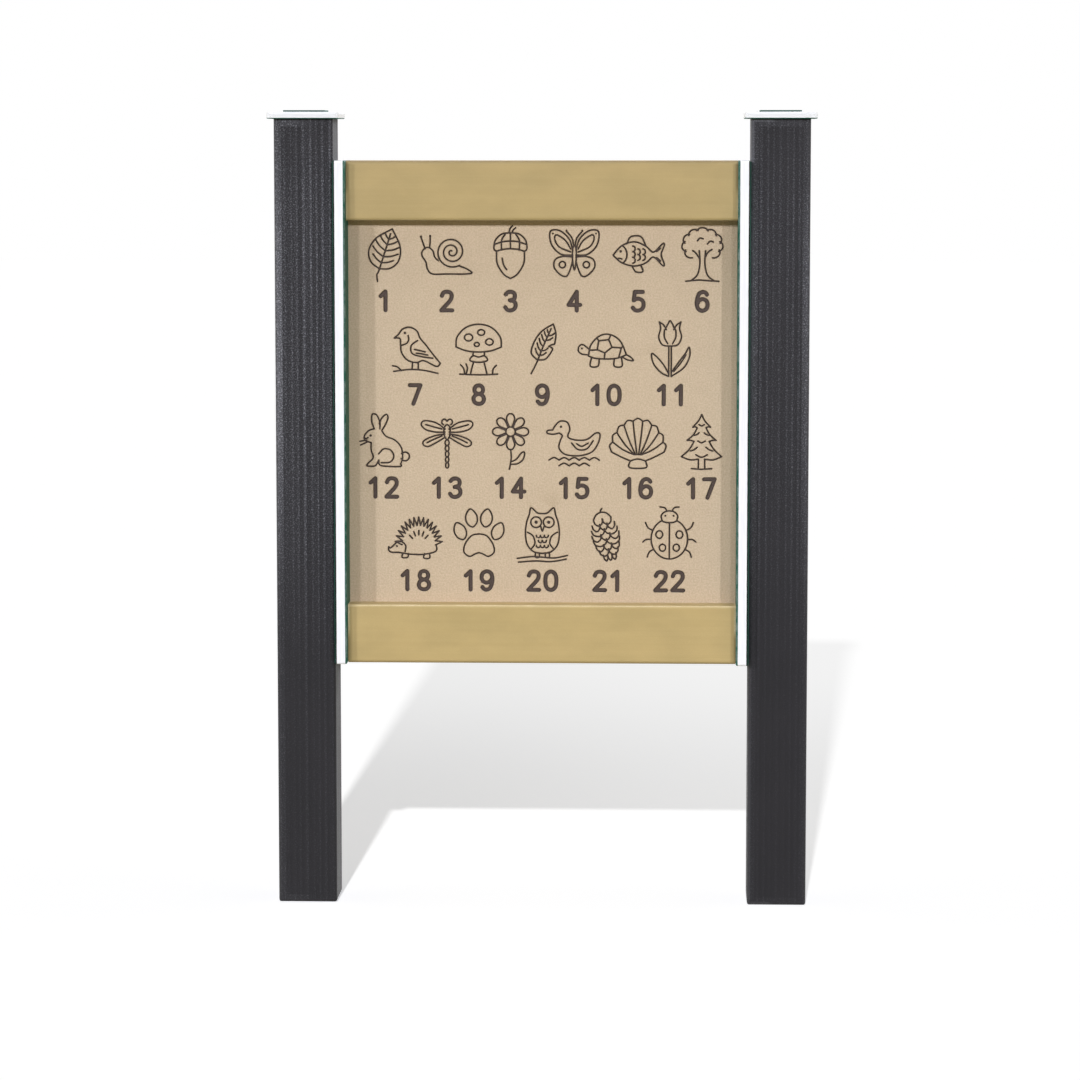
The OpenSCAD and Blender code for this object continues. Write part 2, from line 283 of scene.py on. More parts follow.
class Effects:
    """The shader effects that several finishes share, each built once as a node group."""

    def __init__(self) -> None:
        """Builds the groups."""
        self.streaks = self.build_streaks()
        self.layers = self.build_layers()
        self.pebble = self.build_pebble()
        self.edges = self.build_edges()
        self.ridges = self.build_ridges()

    @staticmethod
    def build_streaks() -> Tree:
        """Builds streaks, grit and clouds that are drawn out along one axis."""
        marks = {"Streak": (3, 0.55), "Grit": (2, 0.7), "Cloud": (3, 0.5)}
        graph, given, result = new_group(
            "Drawn streaks", {f"{mark} per Metre": "Vector" for mark in marks}, floats(*marks))
        for mark, (detail, rough) in marks.items():
            stretched = graph.vector("MULTIPLY", graph.place(), given[f"{mark} per Metre"])
            graph.fill(result[mark], graph.noise(stretched, 1, detail, rough))
        return graph.tree

    @staticmethod
    def build_layers() -> Tree:
        """Builds the mask that shows where a cut bares the core of a three-layer sheet."""
        waver_w, blur_w, wavers_per_metre = 0.06 * MM, 0.04 * MM, 90
        graph, given, result = new_group(
            "Sheet layers", floats("Depth", "Middle", "Core Half"), floats("Core"))
        waver = graph.ramp(graph.noise(graph.place(), wavers_per_metre, 1), *FULL_NOISE, -waver_w, waver_w)
        inside = given["Core Half"] + waver - abs(abs(given["Depth"]) - given["Middle"])
        graph.fill(result["Core"], graph.ramp(inside, -blur_w, blur_w))
        return graph.tree

    @staticmethod
    def build_pebble() -> Tree:
        """Builds the fine pebbled texture and the faint mottling of a rolled plastic skin."""
        bend, bends_per_metre, specks_per_metre, speck_share, dip = 0.6 * MM, 300, 2600, 0.25, 1.2
        graph, given, result = new_group(
            "Pebbled skin", floats("Pebbles per Metre", "Mottles per Metre"),
            floats("Height", "Grain", "Mottle"))
        place, pebbles = graph.place(), given["Pebbles per Metre"]
        bent = graph.add("ShaderNodeTexNoise", {
            "Vector": place, "Scale": bends_per_metre, "Detail": 1}, "Color")
        shifted = graph.vector("MULTIPLY_ADD", bent, (bend, bend, bend), place)
        cells = graph.add("ShaderNodeTexVoronoi", {"Vector": shifted, "Scale": pebbles}, "Distance",
                          feature="SMOOTH_F1")
        specks = graph.noise(place, specks_per_metre, 1)
        graph.fill(result["Height"], specks * speck_share + (1 - cells * dip))
        graph.fill(result["Grain"], graph.ramp(graph.noise(place, pebbles, 1), *FULL_NOISE))
        mottle = graph.noise(place, given["Mottles per Metre"], 4, 0.6)
        graph.fill(result["Mottle"], graph.ramp(mottle, *FULL_NOISE))
        return graph.tree

    @staticmethod
    def build_edges() -> Tree:
        """Builds the mask of a band near the edges of a box-shaped piece, used for real wear and for painted
        highlights, painted sheen and painted shade.
        """
        patches_per_metre = 60
        graph, given, result = new_group(
            "Edge wear", {"Middle": "Vector", "Half Size": "Vector"}
            | floats("Rise From", "Rise To", "Fall From", "Fall To", "Patchiness"), floats("Wear"))
        place = graph.place()
        x, y, z = graph.split(place)
        offset = graph.vector("ABSOLUTE", graph.vector("SUBTRACT", graph.join(abs(x), y, z), given["Middle"]))
        x, y, z = graph.split(graph.vector("SUBTRACT", given["Half Size"], offset))
        nearer, farther = graph.math("MINIMUM", x, y), graph.math("MAXIMUM", x, y)
        second = graph.math("MAXIMUM", nearer, graph.math("MINIMUM", farther, z))
        rise = graph.ramp(second, given["Rise From"], given["Rise To"])
        fall = graph.ramp(second, given["Fall From"], given["Fall To"], 1, 0)
        patches = graph.ramp(graph.noise(place, patches_per_metre, 4, 0.7), *SPOT_NOISE, -1, 0)
        graph.fill(result["Wear"], (patches * given["Patchiness"] + 1) * (rise * fall))
        return graph.tree

    @staticmethod
    def build_ridges() -> Tree:
        """Builds the mask of the ridges that stand between the flutes of a post, on all four faces."""
        marks_per_metre, crest, faint = (60, 60, 0.4), 0.1, 0.25
        graph, given, result = new_group(
            "Post ridges", floats("Post Middle", "Pitch", "Wander", "First", "Turn"), floats("Ridge"))
        x, y, _ = graph.split(graph.place())
        facing_x, facing_y, _ = graph.facing()
        across_x = (x - graph.math("SIGN", x) * given["Post Middle"]) * graph.math("SIGN", facing_y)
        across_y = y * (0 - graph.math("SIGN", facing_x))
        sideways = graph.math("GREATER_THAN", abs(facing_x), SIDE_FACING)
        turns = (across_y * sideways + across_x * (1 - sideways)) / given["Pitch"]
        moved = turns - graph.math("SINE", (turns + given["First"]) * given["Turn"]) * given["Wander"]
        wave = graph.math("COSINE", moved * (2 * math.pi))
        strength = graph.noise(graph.vector("MULTIPLY", graph.place(), marks_per_metre), 1, 1)
        graph.fill(result["Ridge"], graph.ramp(wave, crest, 1) * graph.ramp(strength, *RIDGE_NOISE, faint, 1))
        return graph.tree


def new_material(name: str) -> tuple[Material, Graph]:
    """Starts a material and returns it with its graph."""
    material = bpy.data.materials.new(name)
    material.use_nodes = True
    material.node_tree.nodes.clear()
    return material, Graph(material.node_tree)


def new_object(name: str, data: bpy.types.ID) -> Thing:
    """Links a new object into the scene."""
    made = bpy.data.objects.new(name, data)
    bpy.context.scene.collection.objects.link(made)
    return made


def node_box(node: str) -> tuple[Vector, Vector]:
    """Returns the middle and the half size of a node's box."""
    low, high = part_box(node)
    return (low + high) / 2, (high - low) / 2


@dataclass(frozen=True)
class EdgeWear:
    """Another colour in a band along the edges of a piece, and of its mirror image if it has one. It paints
    real wear, and also painted highlights, painted sheen and painted shade.

    Rise and fall are the distances from the edge, in metres, at which the band sets in and ends. Each
    step is a range of places, in metres, with the share of the colour at its two ends.
    """

    piece: str
    colour: Colour
    share: float = 1
    rise: Span = (-0.001, 0)
    fall: Span = (0, 0.004)
    patchiness: float = 1
    speckle: float = 0
    by_width: tuple[Step, ...] = ()
    by_height: tuple[Step, ...] = ()

    def apply(self, graph: Graph, effects: Effects, colour: Value, salt: Value = 1.0) -> Wire:
        """Mixes the band into a colour and returns it."""
        middle, half = node_box(self.piece)
        wear_and_light = graph.group(effects.edges, {
            "Middle": (abs(middle.x), middle.y, middle.z), "Half Size": tuple(half),
            "Rise From": self.rise[0], "Rise To": self.rise[1],
            "Fall From": self.fall[0], "Fall To": self.fall[1], "Patchiness": self.patchiness})["Wear"]
        share = wear_and_light * (graph.math("MULTIPLY_ADD", salt, self.speckle, 1 - self.speckle) * self.share)
        for axis, steps in ((Axis.X, self.by_width), (Axis.Z, self.by_height)):
            if steps:
                share = share * graph.steps(graph.along(axis), steps)
        return graph.mix(share, colour, self.colour)


@dataclass(frozen=True)
class Ridges:
    """Where the ridges stand on the faces of a fluted post, in metres and degrees, as part.scad has them."""

    pitch: float = 0.0097375
    wander: float = 0.001
    turn: float = 110
    count: int = 8
    gathered: float = 0.8

    def apply(self, graph: Graph, effects: Effects, streak: Wire) -> Wire:
        """Gathers the streaks on the ridges and returns them."""
        middle, _ = node_box("right_post")
        ridge = graph.group(effects.ridges, {
            "Post Middle": middle.x, "Pitch": self.pitch, "Wander": self.wander / self.pitch,
            "First": (self.count - 1) / 2, "Turn": math.radians(self.turn)})["Ridge"]
        return ridge * self.gathered + streak * (1 - self.gathered)


@dataclass(frozen=True)
class LumberFinish:
    """Plastic lumber drawn along one axis, with streaks, grit and clouds in its colour.

    Fade gives the strength of the marks by height, by_side at the left and right ends, and darker how
    much darker the top and the foot are. On the posts the fade is painted light: the ridge marks are
    strongest at mid-height as painted reflection and weaker under the cap as painted shade.
    """

    name: str
    base: Colour
    bright: Colour
    deep: Colour
    along: Axis
    streak_w: float
    streak_len: float
    grit_w: float
    cloud_w: float
    streak_share: float
    grit_share: float
    cloud_share: float
    roughness: float
    bump: float
    fade: tuple[Step, ...] = ((-1, 0, 1, 1),)
    by_side: Span = (1, 1)
    darker: Span = (0, 0)
    specular: float = 0.5
    sheen: float = 0
    ridges: Ridges | None = None
    edges: tuple[EdgeWear, ...] = ()

    def per_metre(self, across: float, length: float) -> tuple[float, float, float]:
        """Returns how many marks there are to the metre on each axis."""
        return tuple(1 / (length if axis == self.along else across) for axis in Axis)

    def make(self, effects: Effects) -> Material:
        """Builds the material."""
        material, graph = new_material(self.name)
        marks = graph.group(effects.streaks, {
            "Streak per Metre": self.per_metre(self.streak_w, self.streak_len),
            "Grit per Metre": self.per_metre(self.grit_w, 1.3 * self.grit_w),
            "Cloud per Metre": self.per_metre(self.cloud_w, 2 * self.cloud_w)})
        grit = marks["Grit"]
        streak = graph.ramp(marks["Streak"], *STREAK_NOISE)
        if self.ridges:
            streak = self.ridges.apply(graph, effects, streak)
        salt, pepper = graph.ramp(grit, *SALT_NOISE), graph.ramp(grit, *PEPPER_NOISE)
        # On the posts, the bright marks gathered on the ridges are partly the lumber's own streaks and partly
        # painted reflection, and their strength by height paints the cap's shade near the top.
        strength = graph.steps(graph.along(Axis.Z), self.fade)
        strength = strength * graph.ramp(graph.along(Axis.X), *WIDTH, *self.by_side)
        light = salt * (streak * 0.75 + 0.25) * self.grit_share + streak * self.streak_share
        cloud = graph.ramp(marks["Cloud"], *FULL_NOISE)
        colour = graph.mix(cloud * self.cloud_share, self.base, self.deep)
        colour = graph.mix(pepper * (strength * self.grit_share), colour, self.deep)
        colour = graph.mix(light * strength, colour, self.bright)
        for edge in self.edges:
            colour = edge.apply(graph, effects, colour, salt)
        top, foot = self.darker
        tone = graph.ramp(graph.along(Axis.Z), *HEIGHT, 1 - foot, 1 - top)
        graph.end_surface(self.bump, streak * 0.5 + grit, {
            "Base Color": graph.mix(1.0, colour, graph.join(tone, tone, tone), "MULTIPLY"),
            "Roughness": grit * 0.2 + (self.roughness - 0.1),
            "Specular IOR Level": self.specular, "Sheen Weight": self.sheen})
        return material


@dataclass(frozen=True)
class SheetFinish:
    """Three-layer plastic sheet: two pebbled skins over a core that shows at every cut.

    Middle and core_half say where the core lies along the across axis, in metres. The outer tone paints
    shade on the outer skin's cut edges, fully from outer_from out of the middle, and the wall tone
    paints shade on a routed wall.
    """

    name: str
    skin: Colour
    skin_shade: Colour
    core: Colour
    core_shade: Colour
    across: Axis
    middle: float
    core_half: float
    pebble_w: float
    mottle_w: float
    grain_share: float
    mottle_share: float
    roughness: float
    bump: float
    cut_along: tuple[float, float, float]
    edges: tuple[EdgeWear, ...] = ()
    outer_tone: float = 1
    outer_from: float = 0.004
    wall_tone: float = 1
    specular: float = 0.5

    def make(self, effects: Effects) -> Material:
        """Builds the material."""
        material, graph = new_material(self.name)
        depth, facing = graph.along(self.across), graph.facing()
        core = graph.group(effects.layers, {
            "Depth": depth, "Middle": self.middle, "Core Half": self.core_half})["Core"]
        pebble = graph.group(effects.pebble, {
            "Pebbles per Metre": 1 / self.pebble_w, "Mottles per Metre": 1 / self.mottle_w})
        tone = pebble["Grain"] * self.grain_share + pebble["Mottle"] * self.mottle_share
        skin = graph.mix(tone, self.skin, self.skin_shade)
        cut = graph.ramp(abs(facing[Axis.Y.value]), *CUT_FACING)
        # Painted shade: the outer skin's cut edges are darkened towards black.
        outer = graph.ramp(abs(depth) - self.middle, 0, self.outer_from, 0, 1 - self.outer_tone)
        skin = graph.mix(cut * outer, skin, BLACK)
        for edge in self.edges:
            skin = edge.apply(graph, effects, skin)
        tool_marks = graph.noise(graph.vector("MULTIPLY", graph.place(), self.cut_along), 1, 2, 0.6)
        cut_core = graph.mix(graph.ramp(tool_marks, *TOOL_NOISE), self.core, self.core_shade)
        # Painted shade: the walls of the routed grooves are darkened.
        if self.wall_tone < 1:
            wall_shade = graph.ramp(abs(facing[self.across.value]), *WALL_FACING, 1 - self.wall_tone, 0)
            cut_core = graph.mix(wall_shade, cut_core, BLACK)
        height = pebble["Height"] * (1 - core) + tool_marks * (core * 0.4)
        graph.end_surface(self.bump, height, {
            "Base Color": graph.mix(core, skin, cut_core),
            "Roughness": pebble["Grain"] * 0.1 + (self.roughness - 0.05),
            "Specular IOR Level": self.specular})
        return material


@dataclass(frozen=True)
class SteelFinish:
    """Galvanised steel: a dull spangle with darker spots."""

    name: str
    base: Colour
    dull: Colour
    roughness: float
    bump: float
    spangles_per_metre: float = 420
    spots_per_metre: float = 160

    def make(self) -> Material:
        """Builds the material."""
        material, graph = new_material(self.name)
        spangle = graph.add("ShaderNodeTexVoronoi", {
            "Vector": graph.place(), "Scale": self.spangles_per_metre}, "Distance")
        tarnish = graph.ramp(graph.noise(graph.place(), self.spots_per_metre, 4, 0.65), *SPOT_NOISE)
        graph.end_surface(self.bump, tarnish, {
            "Base Color": graph.mix(spangle * 0.35 + tarnish * 0.6, self.base, self.dull),
            "Metallic": 1.0, "Roughness": tarnish * 0.2 + self.roughness})
        return material


@dataclass(frozen=True)
class Stroke:
    """One routed line of the sign: its centre line and its width, in millimetres."""

    path: Path
    width: float


class Pen:
    """Draws one figure as centre lines, in millimetres, +Y up, with its middle at 0, 0.

    Step is the most between two points of a curve, and turn_step the most degrees of an arc.
    """

    step = 1.7
    turn_step = 15

    def __init__(self, width: float = 2.0) -> None:
        """Starts with a blank figure and a line of that width."""
        self.width = width
        self.strokes: list[Stroke] = []

    def add(self, path: Path) -> None:
        """Adds one centre line."""
        self.strokes.append(Stroke(path, self.width))

    def line(self, *points: Point) -> None:
        """Adds straight lines from point to point."""
        for pair in zip(points, points[1:]):
            self.add(list(pair))

    def curve(self, *points: Point) -> None:
        """Adds a smooth open curve through the points."""
        self.add(self.smooth(list(points), closed=False))

    def loop(self, *points: Point) -> None:
        """Adds a smooth closed curve through the points."""
        self.add(self.smooth(list(points), closed=True))

    def smooth(self, points: list[Point], closed: bool) -> Path:
        """Gives the points along a smooth curve through a few points."""
        size = len(points)
        pick = (lambda i: points[i % size]) if closed else (lambda i: points[min(max(i, 0), size - 1)])
        path: Path = []
        for i in range(size if closed else size - 1):
            a, b, c, d = (pick(i + k) for k in (-1, 0, 1, 2))
            count = max(3, math.ceil(math.dist(b, c) / self.step))
            for t in (k / count for k in range(count)):
                path.append(tuple(
                    0.5 * (2 * q + (r - p) * t + (2 * p - 5 * q + 4 * r - s) * t * t
                           + (3 * q - p - 3 * r + s) * t ** 3)
                    for p, q, r, s in zip(a, b, c, d)))
        path.append(pick(size))
        return path

    def arc(self, x: float, y: float, rx: float, ry: float, start: float = 0, end: float = 360) -> None:
        """Adds an elliptical arc, angles in degrees."""
        turn = abs(end - start)
        count = math.ceil(max(turn / self.turn_step, math.radians(turn) * max(rx, ry) / self.step))
        angles = [math.radians(start + (end - start) * i / count) for i in range(count + 1)]
        self.add([(x + rx * math.cos(a), y + ry * math.sin(a)) for a in angles])

    def ring(self, x: float, y: float, radius: float) -> None:
        """Adds a circle."""
        self.arc(x, y, radius, radius)

    def dot(self, x: float, y: float, radius: float) -> None:
        """Adds a round dot."""
        self.strokes.append(Stroke([(x, y)], 2 * radius))

    def moved(self, x: float, y: float, turn: float = 0, size: float = 1) -> None:
        """Turns, scales and then moves all that is drawn so far. Line widths stay."""
        c, s = size * math.cos(math.radians(turn)), size * math.sin(math.radians(turn))
        self.strokes = [
            Stroke([(x + c * px - s * py, y + s * px + c * py) for px, py in stroke.path], stroke.width)
            for stroke in self.strokes]

    def mirror(self) -> None:
        """Adds the mirror image of all that is drawn so far, left to right."""
        self.strokes += [Stroke([(-x, y) for x, y in stroke.path], stroke.width) for stroke in self.strokes]

    def repeat(self, count: int) -> None:
        """Adds turned copies of all that is drawn so far, evenly round the middle."""
        first = self.strokes
        copies: list[Stroke] = []
        for i in range(count):
            self.strokes = first
            self.moved(0, 0, 360 * i / count)
            copies += self.strokes
        self.strokes = copies


def draw_leaf(pen: Pen) -> None:
    """Draws a beech leaf with its veins."""
    pen.curve((0, -24), (16, -18), (25, -2), (20, 20), (0, 42))
    for y, reach, rise in ((-14, 17, 9), (-4, 21, 11), (6, 20, 12), (16, 15, 11), (25, 9, 8)):
        pen.curve((0, y), (0.55 * reach, y + 0.4 * rise), (reach, y + rise))
    pen.mirror()
    pen.curve((3, -44), (-1, -34), (0, -24), (0, 34))
    pen.moved(2, 0, -18)


def draw_snail(pen: Pen) -> None:
    """Draws a snail with a coiled shell."""
    turns = [math.radians(a) for a in range(0, 937, 12)]
    coil = [(1.5 + 1.42 * a, a + 1.47) for a in turns]
    pen.add([(8 + reach * math.cos(a), 4 + reach * math.sin(a)) for reach, a in coil])
    pen.curve((-13, -10), (-19, -4), (-22, 6), (-30, 11), (-38, 6), (-39, -2), (-33, -12), (-30, -24),
              (-22, -31), (0, -31), (28, -31), (40, -29), (30, -22), (19, -18))
    pen.curve((-34, 9), (-38, 20), (-40, 26))
    pen.curve((-27, 10), (-26, 20), (-26, 27))
    pen.dot(-40.5, 28, 2)
    pen.dot(-26, 29, 2)


def draw_acorn(pen: Pen) -> None:
    """Draws an acorn in its scaly cup."""
    pen.curve((0, 34), (14, 32), (24, 22), (26, 9), (22, 5))
    pen.curve((22, 5), (21, -14), (11, -31), (0, -38))
    pen.curve((8, 32.5), (14, 22), (14, 7))
    pen.mirror()
    pen.curve((-22, 5), (-12, 8), (0, 9), (12, 8), (22, 5))
    pen.curve((-25, 16), (-12, 20), (0, 21), (12, 20), (25, 16))
    pen.line((0, 9), (0, 34))
    pen.curve((-2, 34), (-1, 40), (3, 45))
    pen.curve((3, 34), (4, 38), (8, 42))
    pen.curve((-13, -6), (-11, -16), (-6, -24))


def draw_butterfly(pen: Pen) -> None:
    """Draws a butterfly with open wings."""
    pen.curve((2.5, 6), (8, 24), (22, 37), (36, 38), (39, 28), (34, 12), (20, 0), (2.5, -1))
    pen.curve((2.5, -4), (18, -3), (30, -8), (32, -20), (22, -32), (12, -34), (6, -22), (2.5, -10))
    pen.curve((6, 9), (14, 22), (28, 31), (31, 24), (24, 12), (6, 4))
    pen.ring(19, -16, 5)
    pen.dot(34, 33, 1.6)
    pen.curve((1, 14), (4, 26), (12, 36))
    pen.dot(12.5, 37.5, 1.9)
    pen.mirror()
    pen.loop((0, 14), (2.8, 8), (2.8, -10), (0, -24), (-2.8, -10), (-2.8, 8))


def draw_fish(pen: Pen) -> None:
    """Draws a fish with its scales."""
    pen.curve((-40, -1), (-26, 14), (-6, 20), (12, 13), (24, 4), (38, 17), (41, 15), (36, 0), (41, -15),
              (38, -17), (24, -4), (12, -13), (-6, -18), (-26, -13), (-40, -1))
    pen.curve((-18, 17), (-12, 28), (4, 28), (12, 13))
    pen.curve((-10, -18), (-4, -27), (7, -27), (4, -17))
    pen.arc(-30, 0, 12, 15, -58, 62)
    pen.dot(-28, 5, 2.3)
    pen.curve((-34, -7), (-30, -6), (-26, -7))
    for column, x in enumerate((-9, -1, 7)):
        for y in ((-9, 0, 9) if column == 0 else (-4.5, 4.5)):
            pen.arc(x, y, 4, 4.5, -85, 85)
    pen.line((29, 5), (35, 10))
    pen.line((29, -5), (35, -10))


def draw_oak(pen: Pen) -> None:
    """Draws a broad tree with a round crown."""
    for turn in range(-38, 220, 32):
        x, y = 23 * math.cos(math.radians(turn)), 15 + 19 * math.sin(math.radians(turn))
        pen.arc(x, y, 9.5, 8.5, turn - 66, turn + 66)
    pen.curve((-5, 6), (-4, -14), (-8, -32), (-18, -41))
    pen.curve((5, 6), (4, -14), (8, -32), (18, -41))
    pen.curve((-4.5, -6), (-10, 2), (-15, 6))
    pen.curve((4.5, -4), (9, 4), (15, 8))
    pen.curve((-26, -42), (-6, -40), (8, -41), (26, -42))
    pen.curve((-8, 22), (-4, 26), (1, 25))
    pen.curve((8, 17), (12, 21), (17, 20))


def draw_robin(pen: Pen) -> None:
    """Draws a small bird on a twig."""
    pen.curve((-33, 16), (-26, 22), (-20, 30), (-8, 33), (3, 27), (8, 16), (18, 4), (27, -8), (40, -24))
    pen.curve((-33, 16), (-24, 15), (-23, 4), (-21, -8), (-12, -19), (2, -23), (14, -20), (34, -29),
              (40, -24))
    pen.curve((4, 12), (-6, 4), (-5, -8), (8, -13), (28, -16))
    pen.curve((-1, -2), (8, -4), (16, -6))
    pen.curve((2, -8), (10, -9), (20, -11))
    pen.curve((-23, 4), (-14, 7), (-10, 13), (-11, 20))
    pen.dot(-16, 24, 2.2)
    pen.line((-4, -23), (-5, -34))
    pen.line((5, -23), (5, -34))
    pen.curve((-34, -37), (-10, -34), (12, -35), (36, -40))
    pen.curve((-22, -36), (-28, -30), (-36, -28))


def draw_mushroom(pen: Pen) -> None:
    """Draws a toadstool in the grass."""
    pen.curve((-36, 2), (-34, 18), (-20, 33), (0, 38), (20, 33), (34, 18), (36, 2))
    pen.curve((-36, 2), (-20, -4), (0, -6), (20, -4), (36, 2))
    pen.line((-9, -6), (-9, -12))
    pen.line((9, -6), (9, -12))
    pen.curve((-8, -21), (-11, -32), (-13, -41))
    pen.curve((8, -21), (11, -32), (13, -41))
    pen.loop((-9, -12), (0, -14), (9, -12), (14, -19), (5, -22), (-5, -22), (-14, -19))
    for x, y, rx, ry in ((-16, 17, 6.5, 5.5), (4, 25, 5.5, 4.5), (17, 10, 6, 5), (-3, 6, 4, 3.2)):
        pen.arc(x, y, rx, ry)
    pen.curve((-30, -41), (-12, -42), (13, -42), (30, -41))
    pen.curve((-22, -41), (-24, -32), (-29, -26))
    pen.curve((-20, -41), (-18, -32), (-20, -25))
    pen.curve((22, -41), (23, -33), (28, -27))


def draw_feather(pen: Pen) -> None:
    """Draws a feather with its barbs."""
    pen.curve((0, -20), (-13, -14), (-16, 4), (-12, 24), (0, 42))
    pen.curve((0, 42), (10, 30), (15, 14))
    pen.curve((15, 14), (11, 11), (8, 7))
    pen.curve((8, 7), (15, 6), (14, -6), (10, -15), (0, -20))
    pen.curve((0, -44), (1, -24), (0, 0), (0, 34))
    for y, reach in ((-13, 10), (-5, 11), (3, 11), (11, 10), (19, 8), (26, 5)):
        pen.curve((0, y), (-0.55 * reach, y + 0.3 * reach), (-reach, y + 0.85 * reach))
    for y in (-12, -4, 14, 22):
        pen.curve((0, y), (5, y + 3), (8, y + 8))
    pen.moved(0, 0, -24)


def draw_tortoise(pen: Pen) -> None:
    """Draws a tortoise from the side."""
    pen.curve((-28, -12), (-24, 6), (-10, 20), (6, 22), (22, 12), (32, -10))
    pen.curve((-28, -12), (-14, -16), (14, -16), (32, -10))
    pen.curve((-26, -2), (-37, 6), (-43, 3), (-44, -4), (-38, -9), (-28, -10))
    pen.dot(-38.5, 0, 1.8)
    pen.curve((-23, -14), (-25, -28), (-13, -28), (-11, -16))
    pen.curve((13, -16), (13, -28), (25, -28), (24, -14))
    pen.curve((32, -10), (38, -13), (43, -19), (34, -18), (26, -14))
    pen.line((-12, 12), (4, 14), (9, 2), (-2, -7), (-14, -2), (-12, 12))
    for start, end in (((4, 14), (7, 21)), ((-12, 12), (-15, 17)), ((9, 2), (24, 1)), ((-14, -2), (-26, -3)),
                       ((-2, -7), (-3, -16)), ((24, 1), (20, -14)), ((24, 1), (27, 4))):
        pen.line(start, end)


def draw_tulip(pen: Pen) -> None:
    """Draws a tulip with two leaves."""
    pen.curve((0, 4), (12, 6), (18, 18), (15, 32), (17, 42))
    pen.curve((17, 42), (10, 37), (6, 30))
    pen.curve((9, 29), (9, 18), (4, 8))
    pen.line((2, 4), (2, -44))
    pen.mirror()
    pen.curve((-8, 30), (-4, 38), (0, 44), (4, 38), (8, 30))
    pen.curve((2, -38), (12, -24), (24, -8), (30, 2), (31, -12), (22, -30), (2, -44))
    pen.curve((-2, -40), (-10, -26), (-20, -14), (-29, -8), (-26, -24), (-14, -38), (-2, -44))
    pen.curve((6, -36), (16, -24), (25, -10))


def draw_rabbit(pen: Pen) -> None:
    """Draws a sitting rabbit from the side."""
    pen.curve((-15, 20), (-19, 32), (-18, 43), (-11, 42), (-6, 30), (-6, 20))
    pen.curve((-7, 28), (-3, 37), (4, 43), (7, 38), (3, 27), (-3, 17))
    pen.curve((-15, 20), (-24, 17), (-31, 8), (-29, 1), (-20, -2))
    pen.curve((-3, 17), (4, 8), (18, 2), (28, -10), (30, -26), (27, -36))
    pen.curve((-20, -2), (-20, -14), (-17, -26), (-24, -34), (-27, -39), (-14, -39), (-8, -30))
    pen.curve((-8, -30), (-6, -38), (10, -40), (27, -40), (27, -36))
    pen.curve((-8, -20), (0, -12), (11, -14), (16, -24), (10, -33), (-4, -34))
    pen.arc(34, -24, 7, 7, -150, 140)
    pen.dot(-21, 9, 2.1)
    pen.curve((-31, 6), (-28, 4.5), (-25, 6))
    pen.line((-26, -1), (-37, -6))
    pen.line((-27, 2), (-38, 0))


def draw_dragonfly(pen: Pen) -> None:
    """Draws a dragonfly from above."""
    pen.curve((3, 20), (18, 30), (36, 33), (41, 27), (34, 19), (18, 15), (3.5, 15))
    pen.curve((3.5, 12), (20, 9), (36, 2), (38, -5), (30, -8), (16, -1), (3, 7))
    pen.curve((8, 20), (20, 23), (34, 27))
    pen.curve((8, 9), (20, 4), (32, -2))
    pen.arc(4.4, 31, 4, 4.6, -70, 160)
    pen.mirror()
    pen.loop((0, 27), (4.5, 22), (4.5, 10), (0, 3), (-4.5, 10), (-4.5, 22))
    for i in range(5):
        pen.arc(0, -2 - 9 * i, 3.2 - 0.2 * i, 4.5)


def draw_daisy(pen: Pen) -> None:
    """Draws a daisy on its stalk."""
    pen.curve((-2.5, 8.5), (-6.5, 20), (-4, 27), (0, 28.5), (4, 27), (6.5, 20), (2.5, 8.5))
    pen.repeat(8)
    pen.ring(0, 0, 7.5)
    pen.moved(0, 16)
    pen.curve((0, -13), (1, -26), (-2, -44))
    pen.curve((0, -32), (9, -28), (17, -18), (22, -17), (20, -28), (11, -35), (0, -36))


def draw_duck(pen: Pen) -> None:
    """Draws a duck on the water."""
    pen.curve((-34, 19), (-30, 26), (-22, 33), (-11, 31), (-7, 20), (-10, 8), (2, 3), (20, 4), (34, 14),
              (41, 12), (38, -2), (28, -16), (8, -22), (-14, -20), (-24, -10), (-22, 2), (-19, 10), (-24, 14))
    pen.curve((-34, 19), (-42, 18), (-43, 14), (-34, 12), (-24, 14))
    pen.dot(-21, 24, 2.2)
    pen.curve((-4, -2), (6, -12), (20, -11), (30, 2))
    pen.curve((4, -3), (12, -7), (22, -2))
    for y, count in ((-27, 5), (-36, 3)):
        for i in range(count):
            x = 16 * (i - (count - 1) / 2)
            pen.curve((x - 8, y - 2), (x, y + 2), (x + 8, y - 2))


def draw_shell(pen: Pen) -> None:
    """Draws a scallop shell with its ribs."""
    ribs = 9
    tips: Path = []
    for i in range(ribs + 1):
        turn = math.radians(90 + 74 * (2 * i / ribs - 1))
        reach = 46 + 18 * math.sin(turn)
        tips.append((0.85 * reach * math.cos(turn), reach * math.sin(turn) - 30))
    for (ax, ay), (bx, by) in zip(tips, tips[1:]):
        out = math.atan2(ay + by + 60, ax + bx)
        bulge = ((ax + bx) / 2 + 4.5 * math.cos(out), (ay + by) / 2 + 4.5 * math.sin(out))
        pen.curve((ax, ay), bulge, (bx, by))
    for x, y in tips[1:-1]:
        pen.curve((0.16 * x, -20), (0.6 * x, 0.5 * y - 12), (x, y))
    pen.curve(tips[0], (26, -24), (12, -30))
    pen.curve(tips[-1], (-26, -24), (-12, -30))
    pen.curve((-12, -30), (-14, -40), (0, -42), (14, -40), (12, -30))
    pen.curve((-12, -30), (0, -27), (12, -30))


